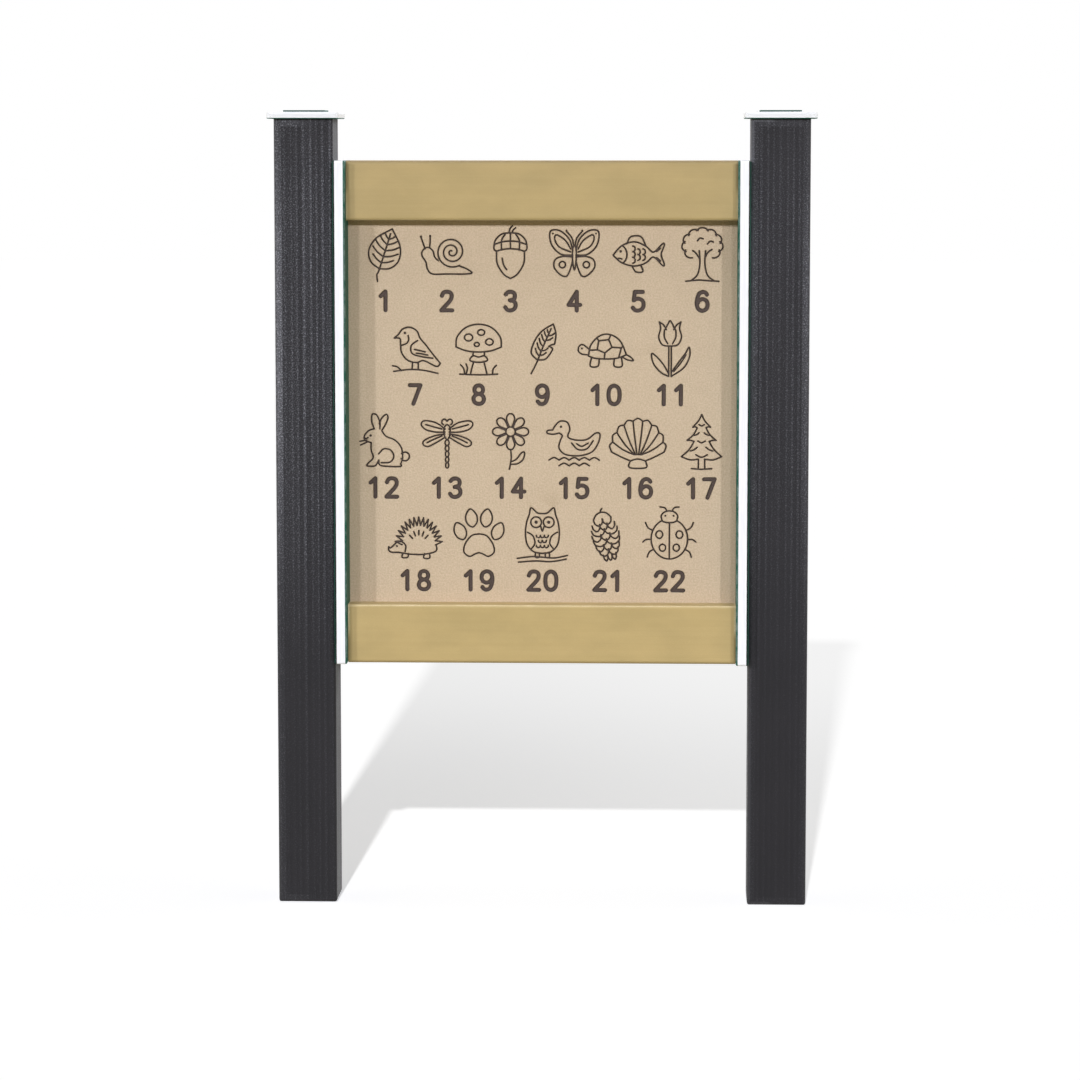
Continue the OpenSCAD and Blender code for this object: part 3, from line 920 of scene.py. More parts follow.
def draw_fir(pen: Pen) -> None:
    """Draws a fir tree in three tiers."""
    for path in (((0, 44), (5, 34), (14, 24)), ((14, 24), (10, 24.5), (7, 23)),
                 ((7, 23), (13, 12), (23, 3)), ((23, 3), (17, 3), (12, 1)),
                 ((12, 1), (20, -12), (32, -23)), ((32, -23), (18, -28), (5, -27)),
                 ((4, 15), (8, 12), (12, 11)), ((7, -8), (12, -12), (18, -14))):
        pen.curve(*path)
    pen.line((5, -27), (5, -41))
    pen.mirror()
    pen.curve((-16, -42), (0, -43), (16, -42))
    pen.curve((-4, 28), (0, 26), (4, 28))
    pen.curve((-6, 2), (0, -1), (6, 2))
    pen.curve((-9, -20), (0, -24), (9, -20))


def draw_hedgehog(pen: Pen) -> None:
    """Draws a hedgehog from the side."""
    def on_back(turn: float, reach: float) -> Point:
        """Gives a point over the back, that far out from its middle."""
        turn = math.radians(turn)
        return (5 + reach * math.cos(turn), -18 + 1.2 * reach * math.sin(turn))

    spines = 15
    pitch = 164 / (spines - 1)
    for i in range(spines):
        turn = 8 + pitch * i
        pen.line(on_back(turn - pitch / 2, 27), on_back(turn, 38), on_back(turn + pitch / 2, 27))
        if i % 2 and 20 < turn < 160:
            pen.line(on_back(turn, 14), on_back(turn, 20))
    pen.curve((-22, -12), (-30, -13), (-40, -22), (-43, -20), (-43, -26), (-38, -29), (-28, -29))
    pen.curve((-28, -29), (-8, -32), (14, -32), (32, -27), (33, -18))
    pen.curve((-22, -12), (-16, -18), (-17, -28))
    pen.dot(-30, -19, 1.9)
    pen.curve((-20, -30), (-22, -37), (-13, -37), (-12, -31))
    pen.curve((14, -31), (13, -38), (22, -38), (22, -31))


def draw_paw(pen: Pen) -> None:
    """Draws a paw print."""
    pen.curve((0, 1), (12, -2), (22, -15), (24, -28), (15, -35), (6, -31), (0, -29))
    pen.mirror()
    for x, y, turn in ((-30, 5, 24), (-12, 26, 8), (12, 26, -8), (30, 5, -24)):
        toe = Pen(pen.width)
        toe.loop((0, -14), (8, -7), (8.5, 5), (0, 15), (-8.5, 5), (-8, -7))
        toe.moved(x, y, turn)
        pen.strokes += toe.strokes


def draw_owl(pen: Pen) -> None:
    """Draws an owl on a branch."""
    pen.curve((0, 34), (8, 35), (18, 43), (21, 32), (25, 20), (27, 2), (24, -16), (14, -27), (0, -30))
    pen.ring(10, 20, 8.5)
    pen.dot(10, 20, 2.8)
    pen.curve((24, 4), (15, -2), (12, -14), (18, -23))
    pen.curve((5, -30), (5, -36), (11, -36), (11, -29))
    pen.mirror()
    pen.curve((-2.5, 13), (0, 6), (2.5, 13))
    for y, count in ((-1, 3), (-9, 2), (-17, 3)):
        for i in range(count):
            pen.arc(6.4 * (i - (count - 1) / 2), y, 3.2, 3.6, 180, 360)
    pen.curve((-40, -38), (-16, -35), (0, -36), (20, -37), (40, -33))
    pen.curve((-38, -44), (-10, -42), (14, -43), (38, -39))


def draw_cone(pen: Pen) -> None:
    """Draws a fir cone with overlapping scales."""
    for row in range(8):
        y, count = 30 - 8.6 * row, 2 + row % 2
        width = 46 * math.sin(math.radians(40 + 16 * row)) / count
        for i in range(count):
            x = width * (i - (count - 1) / 2)
            pen.curve((x - 0.5 * width, y), (x - 0.4 * width, y - 7), (x, y - 11), (x + 0.4 * width, y - 7),
                      (x + 0.5 * width, y))
    pen.curve((-15, 30), (-9, 38), (0, 41), (9, 38), (15, 30))
    pen.curve((0, 41), (0, 44), (3, 47))
    pen.moved(0, -2, 12, 0.95)


def draw_ladybird(pen: Pen) -> None:
    """Draws a ladybird from above."""
    pen.arc(0, -6, 29, 32, -90, 66)
    pen.curve((11.5, 23), (13, 31), (8, 37), (0, 39))
    pen.curve((4, 38.5), (8, 44), (15, 45))
    pen.arc(11, -20, 5, 5.6)
    pen.arc(16, 1, 5.4, 6)
    pen.curve((27, 8), (34, 12), (38, 20))
    pen.curve((29, -7), (37, -7), (42, -11))
    pen.curve((25, -23), (32, -27), (35, -35))
    pen.dot(6.5, 31, 1.8)
    pen.mirror()
    pen.curve((-12, 23), (-6, 20.5), (0, 20), (6, 20.5), (12, 23))
    pen.line((0, 20), (0, -38))


FIGURES: tuple[Callable[[Pen], None], ...] = (
    draw_leaf, draw_snail, draw_acorn, draw_butterfly, draw_fish, draw_oak,
    draw_robin, draw_mushroom, draw_feather, draw_tortoise, draw_tulip,
    draw_rabbit, draw_dragonfly, draw_daisy, draw_duck, draw_shell, draw_fir,
    draw_hedgehog, draw_paw, draw_owl, draw_cone, draw_ladybird)


def draw_digit(pen: Pen, digit: int) -> None:
    """Draws one round-ended numeral, one unit high, its lower left at 0, 0."""
    if digit == 0:
        pen.loop((0.3, 1), (0.53, 0.86), (0.6, 0.5), (0.53, 0.14), (0.3, 0), (0.07, 0.14), (0, 0.5),
                 (0.07, 0.86))
    elif digit == 1:
        pen.line((0.06, 0.76), (0.32, 1), (0.32, 0))
    elif digit == 2:
        pen.curve((0.03, 0.78), (0.12, 0.95), (0.3, 1), (0.49, 0.94), (0.56, 0.76), (0.47, 0.52), (0.2, 0.22),
                  (0, 0))
        pen.line((0, 0), (0.58, 0))
    elif digit == 3:
        pen.curve((0.04, 0.86), (0.14, 0.97), (0.3, 1), (0.47, 0.94), (0.53, 0.77), (0.46, 0.6), (0.26, 0.54))
        pen.curve((0.26, 0.54), (0.48, 0.48), (0.57, 0.28), (0.49, 0.08), (0.3, 0), (0.12, 0.03),
                  (0.01, 0.17))
    elif digit == 4:
        pen.line((0.44, 0), (0.44, 1), (0, 0.3), (0.62, 0.3))
    elif digit == 5:
        pen.line((0.52, 1), (0.1, 1), (0.05, 0.55))
        pen.curve((0.05, 0.55), (0.18, 0.63), (0.35, 0.63), (0.52, 0.52), (0.57, 0.32), (0.5, 0.1), (0.29, 0),
                  (0.11, 0.03), (0, 0.16))
    elif digit == 6:
        pen.curve((0.54, 0.86), (0.44, 0.97), (0.3, 1), (0.12, 0.9), (0.02, 0.62), (0, 0.36), (0.08, 0.1),
                  (0.3, 0), (0.51, 0.1), (0.58, 0.32), (0.51, 0.53), (0.31, 0.62), (0.12, 0.54), (0.01, 0.36))
    elif digit == 7:
        pen.line((0, 1), (0.56, 1), (0.18, 0))
    elif digit == 8:
        pen.loop((0.3, 0.54), (0.48, 0.62), (0.53, 0.78), (0.46, 0.94), (0.3, 1), (0.14, 0.94), (0.07, 0.78),
                 (0.12, 0.62))
        pen.loop((0.3, 0.54), (0.51, 0.44), (0.58, 0.26), (0.5, 0.07), (0.3, 0), (0.1, 0.07), (0.02, 0.26),
                 (0.09, 0.44))
    else:
        pen.curve((0.04, 0.14), (0.14, 0.03), (0.28, 0), (0.46, 0.1), (0.56, 0.38), (0.58, 0.64), (0.5, 0.9),
                  (0.28, 1), (0.07, 0.9), (0, 0.68), (0.07, 0.47), (0.27, 0.38), (0.46, 0.46), (0.57, 0.64))


@dataclass
class SignDrawing:
    """The drawing on the sign: numbered nature figures in staggered rows, in millimetres."""

    rows: tuple[int, ...] = (6, 5, 6, 5)
    pitch_x: float = 96
    pitch_y: float = 141
    figure_scale: float = 0.95
    line_w: float = 2.95
    numeral_h: float = 28
    numeral_w: float = 6.7
    numeral_pitch: float = 0.92
    numeral_drop: float = 84
    rise: float = 237

    def numeral(self, number: int, x: float, y: float) -> list[Stroke]:
        """Draws a whole number, centred at x, with its foot at y."""
        digits = [int(digit) for digit in str(number)]
        pen = Pen(self.numeral_w)
        pen.step = Pen.step / self.numeral_h
        for i, digit in enumerate(digits):
            glyph = Pen(self.numeral_w)
            glyph.step = pen.step
            draw_digit(glyph, digit)
            glyph.moved(self.numeral_pitch * i, 0)
            pen.strokes += glyph.strokes
        xs = [px for stroke in pen.strokes for px, _ in stroke.path]
        pen.moved(x - self.numeral_h * (min(xs) + max(xs)) / 2, y, 0, self.numeral_h)
        return pen.strokes

    def strokes(self) -> list[Stroke]:
        """Draws every figure with its number under it, about the middle of the panel."""
        drawn: list[Stroke] = []
        figures = iter(enumerate(FIGURES, start=1))
        for row, count in enumerate(self.rows):
            for column in range(count):
                number, draw = next(figures)
                x = self.pitch_x * (column - (count - 1) / 2)
                y = self.rise - self.pitch_y * row
                pen = Pen(self.line_w)
                draw(pen)
                pen.moved(x, y, 0, self.figure_scale)
                drawn += pen.strokes + self.numeral(number, x, y - self.numeral_drop)
        return drawn


@dataclass
class RoutedPanel:
    """The sign panel, with its drawing routed through the skin into the core.

    Sizes are in millimetres, and corner and sharp in degrees: the turn at which a line is split, and
    the angle above which an edge stays sharp.
    """

    groove_depth: float = 3.4
    wall_w: float = 1.0
    lip_w: float = 0.4
    lip_depth: float = 0.3
    corner: float = 50
    weld: float = 0.004
    same: float = 1e-6
    least_ends: int = 8
    ends_per_mm: float = 4
    mitre: float = 0.6
    sharp: float = 30

    def split(self, path: Path) -> list[Path]:
        """Splits a centre line at its sharp corners, so that each part gets round ends."""
        parts: list[Path] = [[path[0]]]
        for before, here, after in zip(path, path[1:], path[2:]):
            turn = (Vector(here) - Vector(before)).angle_signed(Vector(after) - Vector(here))
            parts[-1].append(here)
            if abs(math.degrees(turn)) > self.corner:
                parts.append([here])
        parts[-1].append(path[-1])
        return parts

    def outlines(self, path: Path, half: float) -> list[Path]:
        """Gives the closed outlines of a line of that half width, with round ends where it is open."""
        ends = max(self.least_ends, round(self.ends_per_mm * half))
        if len(path) == 1:
            turns = [math.pi * i / ends for i in range(2 * ends)]
            return [[(path[0][0] + half * math.cos(a), path[0][1] + half * math.sin(a)) for a in turns]]
        points = np.array(path)
        points = points[np.r_[True, np.hypot(*np.diff(points, axis=0).T) > self.same]]
        closed = np.hypot(*(points[0] - points[-1])) < self.same
        if closed:
            points = points[:-1]
        ahead = np.roll(points, -1, 0) - points
        ahead /= np.hypot(*ahead.T)[:, None]
        behind = np.roll(ahead, 1, 0)
        if not closed:
            ahead[-1], behind[0] = behind[-1], ahead[0]
        along = ahead + behind
        along /= np.hypot(*along.T)[:, None]
        reach = half / np.maximum((along * ahead).sum(1), self.mitre)
        side = np.stack([-along[:, 1], along[:, 0]], 1) * reach[:, None]
        left, right = points + side, points - side
        if closed:
            return [left.tolist(), right.tolist()]
        caps = []
        for tip, start in ((points[-1], side[-1]), (points[0], -side[0])):
            first = math.atan2(start[1], start[0])
            turns = [first - math.pi * i / ends for i in range(1, ends)]
            caps.append([(tip[0] + half * math.cos(a), tip[1] + half * math.sin(a)) for a in turns])
        return [left.tolist() + caps[0] + right[::-1].tolist() + caps[1]]

    def clearance(self, places: np.ndarray, strokes: list[Stroke]) -> np.ndarray:
        """Gives how far each place lies outside the nearest line, below 0 inside it.

        Args:
            places: Places on the panel, in millimetres.
            strokes: The routed lines.

        Returns:
            One distance for each place. Beyond the lip it is only some distance wider than the lip.
        """
        result = np.full(len(places), 2 * self.lip_w)
        for stroke in strokes:
            path = np.array(stroke.path if len(stroke.path) > 1 else stroke.path * 2)
            margin = stroke.width / 2 + 2 * self.lip_w
            low, high = path.min(0) - margin, path.max(0) + margin
            near = np.flatnonzero(((places > low) & (places < high)).all(1))
            start, step = path[:-1], np.diff(path, axis=0)
            length = np.maximum((step ** 2).sum(1), self.same ** 2)
            offset = places[near][:, None] - start[None]
            share = np.clip((offset * step).sum(2) / length, 0, 1)
            distance = np.hypot(*(offset - share[..., None] * step).transpose(2, 0, 1)).min(1)
            result[near] = np.minimum(result[near], distance - stroke.width / 2)
        return result

    def triangulate(self, strokes: list[Stroke], half_w: float, half_h: float
                    ) -> tuple[np.ndarray, list[tuple]]:
        """Cuts the panel's face into triangles that follow the edges of every line.

        Args:
            strokes: The routed lines.
            half_w: Half the width of the face.
            half_h: Half the height of the face.

        Returns:
            The corner places, those of the face first, and the corner numbers of each triangle.
        """
        places: list[Point] = [(-half_w, -half_h), (half_w, -half_h), (half_w, half_h), (-half_w, half_h)]
        edges = [(i, (i + 1) % 4) for i in range(4)]
        for stroke in strokes:
            for part in self.split(stroke.path) if len(stroke.path) > 2 else [stroke.path]:
                for inset in (-self.lip_w, 0, self.wall_w):
                    for outline in self.outlines(part, stroke.width / 2 - inset):
                        first, size = len(places), len(outline)
                        places += outline
                        edges += [(first + i, first + (i + 1) % size) for i in range(size)]
        found = delaunay_2d_cdt([Vector(p) for p in places], edges, [], 0, self.weld)
        return np.array([tuple(p) for p in found[0]]), [tuple(face) for face in found[2]]

    def build(self, strokes: list[Stroke]) -> Thing:
        """Builds the routed panel in place of the plain one.

        Args:
            strokes: The drawing, in millimetres about the middle of the visible face.

        Returns:
            The new piece.
        """
        low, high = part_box("sign_panel")
        middle = (low + high) / 2
        rise = ((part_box("bottom_rail")[1].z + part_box("top_rail")[0].z) / 2 - middle.z) / MM
        strokes = [Stroke([(x, y + rise) for x, y in stroke.path], stroke.width) for stroke in strokes]
        places, faces = self.triangulate(strokes, (high.x - low.x) / 2 / MM, (high.z - low.z) / 2 / MM)
        away = self.clearance(places, strokes)
        depth = np.interp(away, (-self.wall_w, 0, self.lip_w), (self.groove_depth, self.lip_depth, 0))
        front = np.column_stack([places[:, 0], depth, places[:, 1]])
        outside = 2 * places.max() * np.array([(-1, -1), (1, -1), (1, 1), (-1, 1)])
        corners = [int(np.argmin(np.hypot(*(places - corner).T))) for corner in outside]
        back = front[corners] + (0, (high.y - low.y) / MM, 0)
        rear = [len(front) + i for i in range(4)]
        sides = [(corners[j], corners[i], rear[i], rear[j]) for i, j in ((0, 1), (1, 2), (2, 3), (3, 0))]
        shift = np.array([middle.x / MM, low.y / MM, middle.z / MM])
        mesh = bpy.data.meshes.new("sign_panel_routed")
        faces += sides + [tuple(rear[::-1])]
        mesh.from_pydata(((np.vstack([front, back]) + shift) * MM).tolist(), [], faces)
        return finished_piece("sign_panel_routed", mesh, self.sharp)


def finished_piece(name: str, mesh: bpy.types.Mesh, sharp: float) -> Thing:
    """Cleans a mesh, shades it and links it as an object at the origin.

    Args:
        name: The name of the piece.
        mesh: Its mesh, in place.
        sharp: The angle in degrees above which an edge stays sharp.

    Returns:
        The new object.
    """
    mesh.validate()
    mesh.polygons.foreach_set("use_smooth", [True] * len(mesh.polygons))
    mesh.set_sharp_from_angle(angle=math.radians(sharp))
    return new_object(name, mesh)


# The inputs of the threaded shank, by name, with their kinds
SHANK = floats("Diameter", "Length", "Head Diameter", "Point Length", "Point Flat", "Thread Pitch",
               "Thread Depth", "Thread Length") | {"Rings": "Int"}
GEOMETRY = {"Geometry": "Geometry"}
TAN_30 = math.tan(math.radians(30))
COS_30 = math.cos(math.radians(30))


@dataclass
class Fasteners:
    """The screws and washers, each a formula in Geometry Nodes placed at its sites.

    Sizes are in millimetres. Shares are of a countersunk screw's diameter, and parts of its length.
    """

    lag_d: float = 9.5
    lag_head_h: float = 6.4
    lag_face_share: float = 0.47
    lag_point: float = 9
    lag_thread_pitch: float = 3.6
    lag_thread_depth: float = 0.9
    lag_thread_len: float = 100
    washer_hole_d: float = 10.3
    washer_edge_r: float = 0.25
    cap_screw_d: float = 4.2
    head_share: float = 2
    socket_share: float = 0.75
    point_share: float = 1.6
    point_flat: float = 0.6
    thread_share: float = 0.11
    pitch_share: float = 0.5
    thread_part: float = 0.66
    segments: int = 24
    washer_segments: int = 64
    washer_edge_steps: int = 3
    rings_per_turn: int = 6
    least_rings: int = 12
    sharp: float = 28

    def shank_tree(self) -> Tree:
        """Builds the tree of a threaded shank with an optional countersunk head, pointing down -Z.

        Returns:
            A geometry group whose output is the closed shank, its top at z = 0.
        """
        graph, given, result = new_group("Threaded shank", SHANK, GEOMETRY, "Geometry")
        length = given["Length"]
        radius, flat = given["Diameter"] * 0.5, given["Point Flat"] * 0.5
        rod = graph.add("GeometryNodeMeshCylinder", {
            "Vertices": self.segments, "Side Segments": given["Rings"], "Radius": 1.0, "Depth": length},
            "Mesh")
        where = graph.add("GeometryNodeInputPosition")
        x, y, z = graph.split(where)
        down = z - length * 0.5
        from_tip = down + length
        winding = graph.math("ARCTAN2", y, x) / (2 * math.pi)
        wave = graph.math("PINGPONG", down / given["Thread Pitch"] + winding, 0.5)
        in_thread = graph.math("LESS_THAN", from_tip, given["Thread Length"])
        threaded = radius - wave * 2.0 * given["Thread Depth"] * in_thread
        tip = graph.math("MULTIPLY_ADD", from_tip, (radius - flat) / given["Point Length"], flat)
        head = given["Head Diameter"] * 0.5 + down
        reach = graph.math("MAXIMUM", graph.math("MINIMUM", threaded, tip), head)
        unit = graph.vector("NORMALIZE", graph.vector("MULTIPLY", where, (1, 1, 0)))
        spread = graph.add("ShaderNodeVectorMath", {0: unit, "Scale": reach}, operation="SCALE")
        place = graph.vector("ADD", spread, graph.join(0, 0, down))
        graph.fill(result[0], graph.add("GeometryNodeSetPosition", {"Geometry": rod, "Position": place}))
        return graph.tree

    @staticmethod
    def start_tree(name: str, sizes: dict[str, str]) -> tuple[Graph, Wires, Outlets]:
        """Starts a fastener's tree, with its sites, turn and material as inputs beside its sizes."""
        shared = {"Sites": "Geometry", "Turn": "Vector", "Material": "Material"}
        return new_group(name, shared | sizes, GEOMETRY, "Geometry")

    @staticmethod
    def add_shank(graph: Graph, given: Wires, shank: Tree) -> Wire:
        """Adds the threaded shank to a fastener's tree and returns it."""
        return graph.group(shank, {name: given[name] for name in SHANK})["Geometry"]

    @staticmethod
    def place_at_sites(graph: Graph, given: Wires, result: Outlets, shape: Wire
                       ) -> Tree:
        """Ends a tree: puts one shape at each site, makes it real and gives it its material."""
        turn = graph.add("FunctionNodeEulerToRotation", {0: given["Turn"]})
        copies = graph.add("GeometryNodeInstanceOnPoints", {
            "Points": given["Sites"], "Instance": shape, "Rotation": turn})
        real = graph.add("GeometryNodeRealizeInstances", {0: copies})
        painted = graph.add("GeometryNodeSetMaterial", {"Geometry": real, "Material": given["Material"]})
        graph.fill(result[0], painted)
        return graph.tree

    def countersunk_tree(self, shank: Tree) -> Tree:
        """Builds the tree of countersunk screws with a square drive socket."""
        graph, given, result = self.start_tree("Countersunk screws", SHANK | floats("Socket Width"))
        screw, width = self.add_shank(graph, given, shank), given["Socket Width"]
        cube = graph.add("GeometryNodeMeshCube", {"Size": graph.join(width, width, width * 2.0)})
        drilled = graph.add("GeometryNodeMeshBoolean", {0: screw, 1: cube},
                            operation="DIFFERENCE", solver="EXACT")
        return self.place_at_sites(graph, given, result, drilled)

    def lag_tree(self, shank: Tree) -> Tree:
        """Builds the tree of lag screws with a chamfered hexagonal head."""
        graph, given, result = self.start_tree("Lag screws", SHANK | floats("Head Height", "Across Flats"))
        screw, high, flats = self.add_shank(graph, given, shank), given["Head Height"], given["Across Flats"]
        hexagon = graph.add("GeometryNodeMeshCylinder", {
            "Vertices": 6, "Radius": flats / (2 * COS_30), "Depth": high}, "Mesh")
        hexagon = graph.add("GeometryNodeTransform", {
            "Geometry": hexagon, "Translation": graph.join(0, 0, high * 0.5)})
        face = flats * self.lag_face_share
        foot = graph.math("MULTIPLY_ADD", high, 1.0 / TAN_30, face)
        cone = graph.add("GeometryNodeMeshCone", {
            "Vertices": 2 * self.segments, "Radius Top": face, "Radius Bottom": foot, "Depth": high}, "Mesh")
        head = graph.add("GeometryNodeMeshBoolean", {1: [hexagon, cone]},
                         operation="INTERSECT", solver="EXACT")
        whole = graph.add("GeometryNodeJoinGeometry", {0: [head, screw]})
        return self.place_at_sites(graph, given, result, whole)

    def washer_tree(self) -> Tree:
        """Builds the tree of round washers with eased edges."""
        graph, given, result = self.start_tree(
            "Washers", floats("Outer Diameter", "Hole Diameter", "Thickness", "Edge Radius"))
        outer, hole, thickness = given["Outer Diameter"], given["Hole Diameter"], given["Thickness"]
        ring = graph.add("GeometryNodeCurvePrimitiveCircle", {
            "Resolution": self.washer_segments, "Radius": (outer + hole) * 0.25})
        section = graph.add("GeometryNodeCurvePrimitiveQuadrilateral", {
            "Width": (outer - hole) * 0.5, "Height": thickness})
        eased = graph.add("GeometryNodeFilletCurve", {
            "Curve": section, "Radius": given["Edge Radius"], "Count": self.washer_edge_steps}, mode="POLY")
        washer = graph.add("GeometryNodeCurveToMesh", {"Curve": ring, "Profile Curve": eased})
        raised = graph.add("GeometryNodeTransform", {
            "Geometry": washer, "Translation": graph.join(0, 0, thickness * 0.5)})
        return self.place_at_sites(graph, given, result, raised)

    def grow(self, name: str, tree: Tree, sites: list[tuple], values: dict[str, object]
             ) -> Thing:
        """Runs a fastener's tree at its sites and keeps the plain mesh.

        Args:
            name: The name of the piece.
            tree: The fastener's tree.
            sites: Where each fastener goes.
            values: The tree's inputs, by name.

        Returns:
            The new piece, with no modifier left on it.
        """
        holder = new_object(name, bpy.data.meshes.new(f"{name}_sites"))
        holder.data.from_pydata(sites, [], [])
        modifier = holder.modifiers.new("Fasteners", "NODES")
        modifier.node_group = tree
        for socket in tree.interface.items_tree:
            if socket.in_out == "INPUT" and socket.name in values:
                modifier[socket.identifier] = values[socket.name]
        bpy.context.view_layer.update()
        evaluated = holder.evaluated_get(bpy.context.evaluated_depsgraph_get())
        mesh = bpy.data.meshes.new_from_object(evaluated)
        bpy.data.objects.remove(holder)
        return finished_piece(name, mesh, self.sharp)

    def thread(self, diameter: float, length: float, thread_len: float, pitch: float, depth: float,
               point: float) -> dict[str, object]:
        """Gives the inputs that every threaded shank needs, from sizes in metres."""
        return {"Diameter": diameter, "Length": length, "Point Length": point,
                "Point Flat": self.point_flat * MM, "Thread Pitch": pitch, "Thread Depth": depth,
                "Thread Length": thread_len,
                "Rings": max(self.least_rings, round(self.rings_per_turn * length / pitch))}

    def countersunk(self, head: float, length: float) -> dict[str, object]:
        """Gives the inputs of a countersunk screw, from its head's width and its length in metres."""
        diameter = head / self.head_share
        values = self.thread(diameter, length, self.thread_part * length, self.pitch_share * diameter,
                             self.thread_share * diameter, self.point_share * diameter)
        return values | {"Head Diameter": head, "Socket Width": self.socket_share * diameter}

    def lag(self, flats: float, whole: float) -> dict[str, object]:
        """Gives the inputs of a lag screw, from its head's width and its whole length in metres."""
        values = self.thread(self.lag_d * MM, whole - self.lag_head_h * MM, self.lag_thread_len * MM,
                             self.lag_thread_pitch * MM, self.lag_thread_depth * MM, self.lag_point * MM)
        return values | {"Head Height": self.lag_head_h * MM, "Across Flats": flats}

    @staticmethod
    def ends(low: float, high: float, width: float) -> Span:
        """Gives the middles of two things of one width, one at each end of a span."""
        return low + width / 2, high - width / 2

    def build(self, steel: Material) -> dict[str, Thing]:
        """Builds a piece for every fastener node.

        Args:
            steel: The material of all fasteners.

        Returns:
            The new pieces, by the name of the node that each replaces.
        """
        shank = self.shank_tree()
        lags, washers, screws = self.lag_tree(shank), self.washer_tree(), self.countersunk_tree(shank)
        pieces: dict[str, Thing] = {}

        def add(node: str, tree: Tree, sites: list[tuple], turn: float, values: dict) -> None:
            """Builds the piece of one node, its fasteners turned by that angle about Y."""
            values = values | {"Turn": (0.0, turn, 0.0), "Material": steel}
            pieces[node] = self.grow(f"{node}_turned", tree, sites, values)

        for side in Side:
            turn = side.value * math.pi / 2
            outer = 0 if side is Side.LEFT else 1
            for level in Level:
                joint = f"{level.value}_{side.word}"
                box = low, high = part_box(f"{joint}_lag_screws")
                flats = high.y - low.y
                x = box[outer].x - side.value * self.lag_head_h * MM
                sites = [(x, 0, z) for z in self.ends(low.z, high.z, flats / COS_30)]
                add(f"{joint}_lag_screws", lags, sites, turn, self.lag(flats, high.x - low.x))
                box = low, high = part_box(f"{joint}_lag_washers")
                across = high.y - low.y
                sites = [(box[1 - outer].x, 0, z) for z in self.ends(low.z, high.z, across)]
                add(f"{joint}_lag_washers", washers, sites, turn,
                    {"Outer Diameter": across, "Thickness": high.x - low.x,
                     "Hole Diameter": self.washer_hole_d * MM, "Edge Radius": self.washer_edge_r * MM})
                box = low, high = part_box(f"{joint}_cheek_screws")
                head = high.z - low.z
                x, z = box[outer].x, (low.z + high.z) / 2
                sites = [(x, y, z) for y in self.ends(low.y, high.y, head)]
                add(f"{joint}_cheek_screws", screws, sites, turn, self.countersunk(head, high.x - low.x))
            node = f"{side.word}_cap_screws"
            low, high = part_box(node)
            head = self.head_share * self.cap_screw_d * MM
            xs = self.ends(low.x, high.x, head)[::-side.value]
            sites = [(x, y, high.z) for x, y in zip(xs, self.ends(low.y, high.y, head))]
            add(node, screws, sites, 0.0, self.countersunk(head, high.z - low.z))
        return pieces


@dataclass(frozen=True)
class Sun:
    """One distant lamp: where it stands, seen from the object, and how it shines."""

    name: str
    azimuth: float
    elevation: float
    strength: float
    spread: float


@dataclass(frozen=True)
class FloorLamp:
    """The lamp that throws the object's shadow on the floor, in metres and watts."""

    place: tuple[float, float, float]
    radius: float
    power: float

    def light_on_floor(self, graph: Graph) -> Wire:
        """Returns how bright the lamp alone makes a white floor at each place."""
        away = graph.vector("SUBTRACT", graph.place(), self.place)
        distance = graph.add("ShaderNodeVectorMath", {0: away}, "Value", operation="LENGTH")
        at_one_metre = self.power * self.place[2] / (2 * math.pi) ** 2
        return graph.math("DIVIDE", at_one_metre, graph.math("POWER", distance, 3.0))


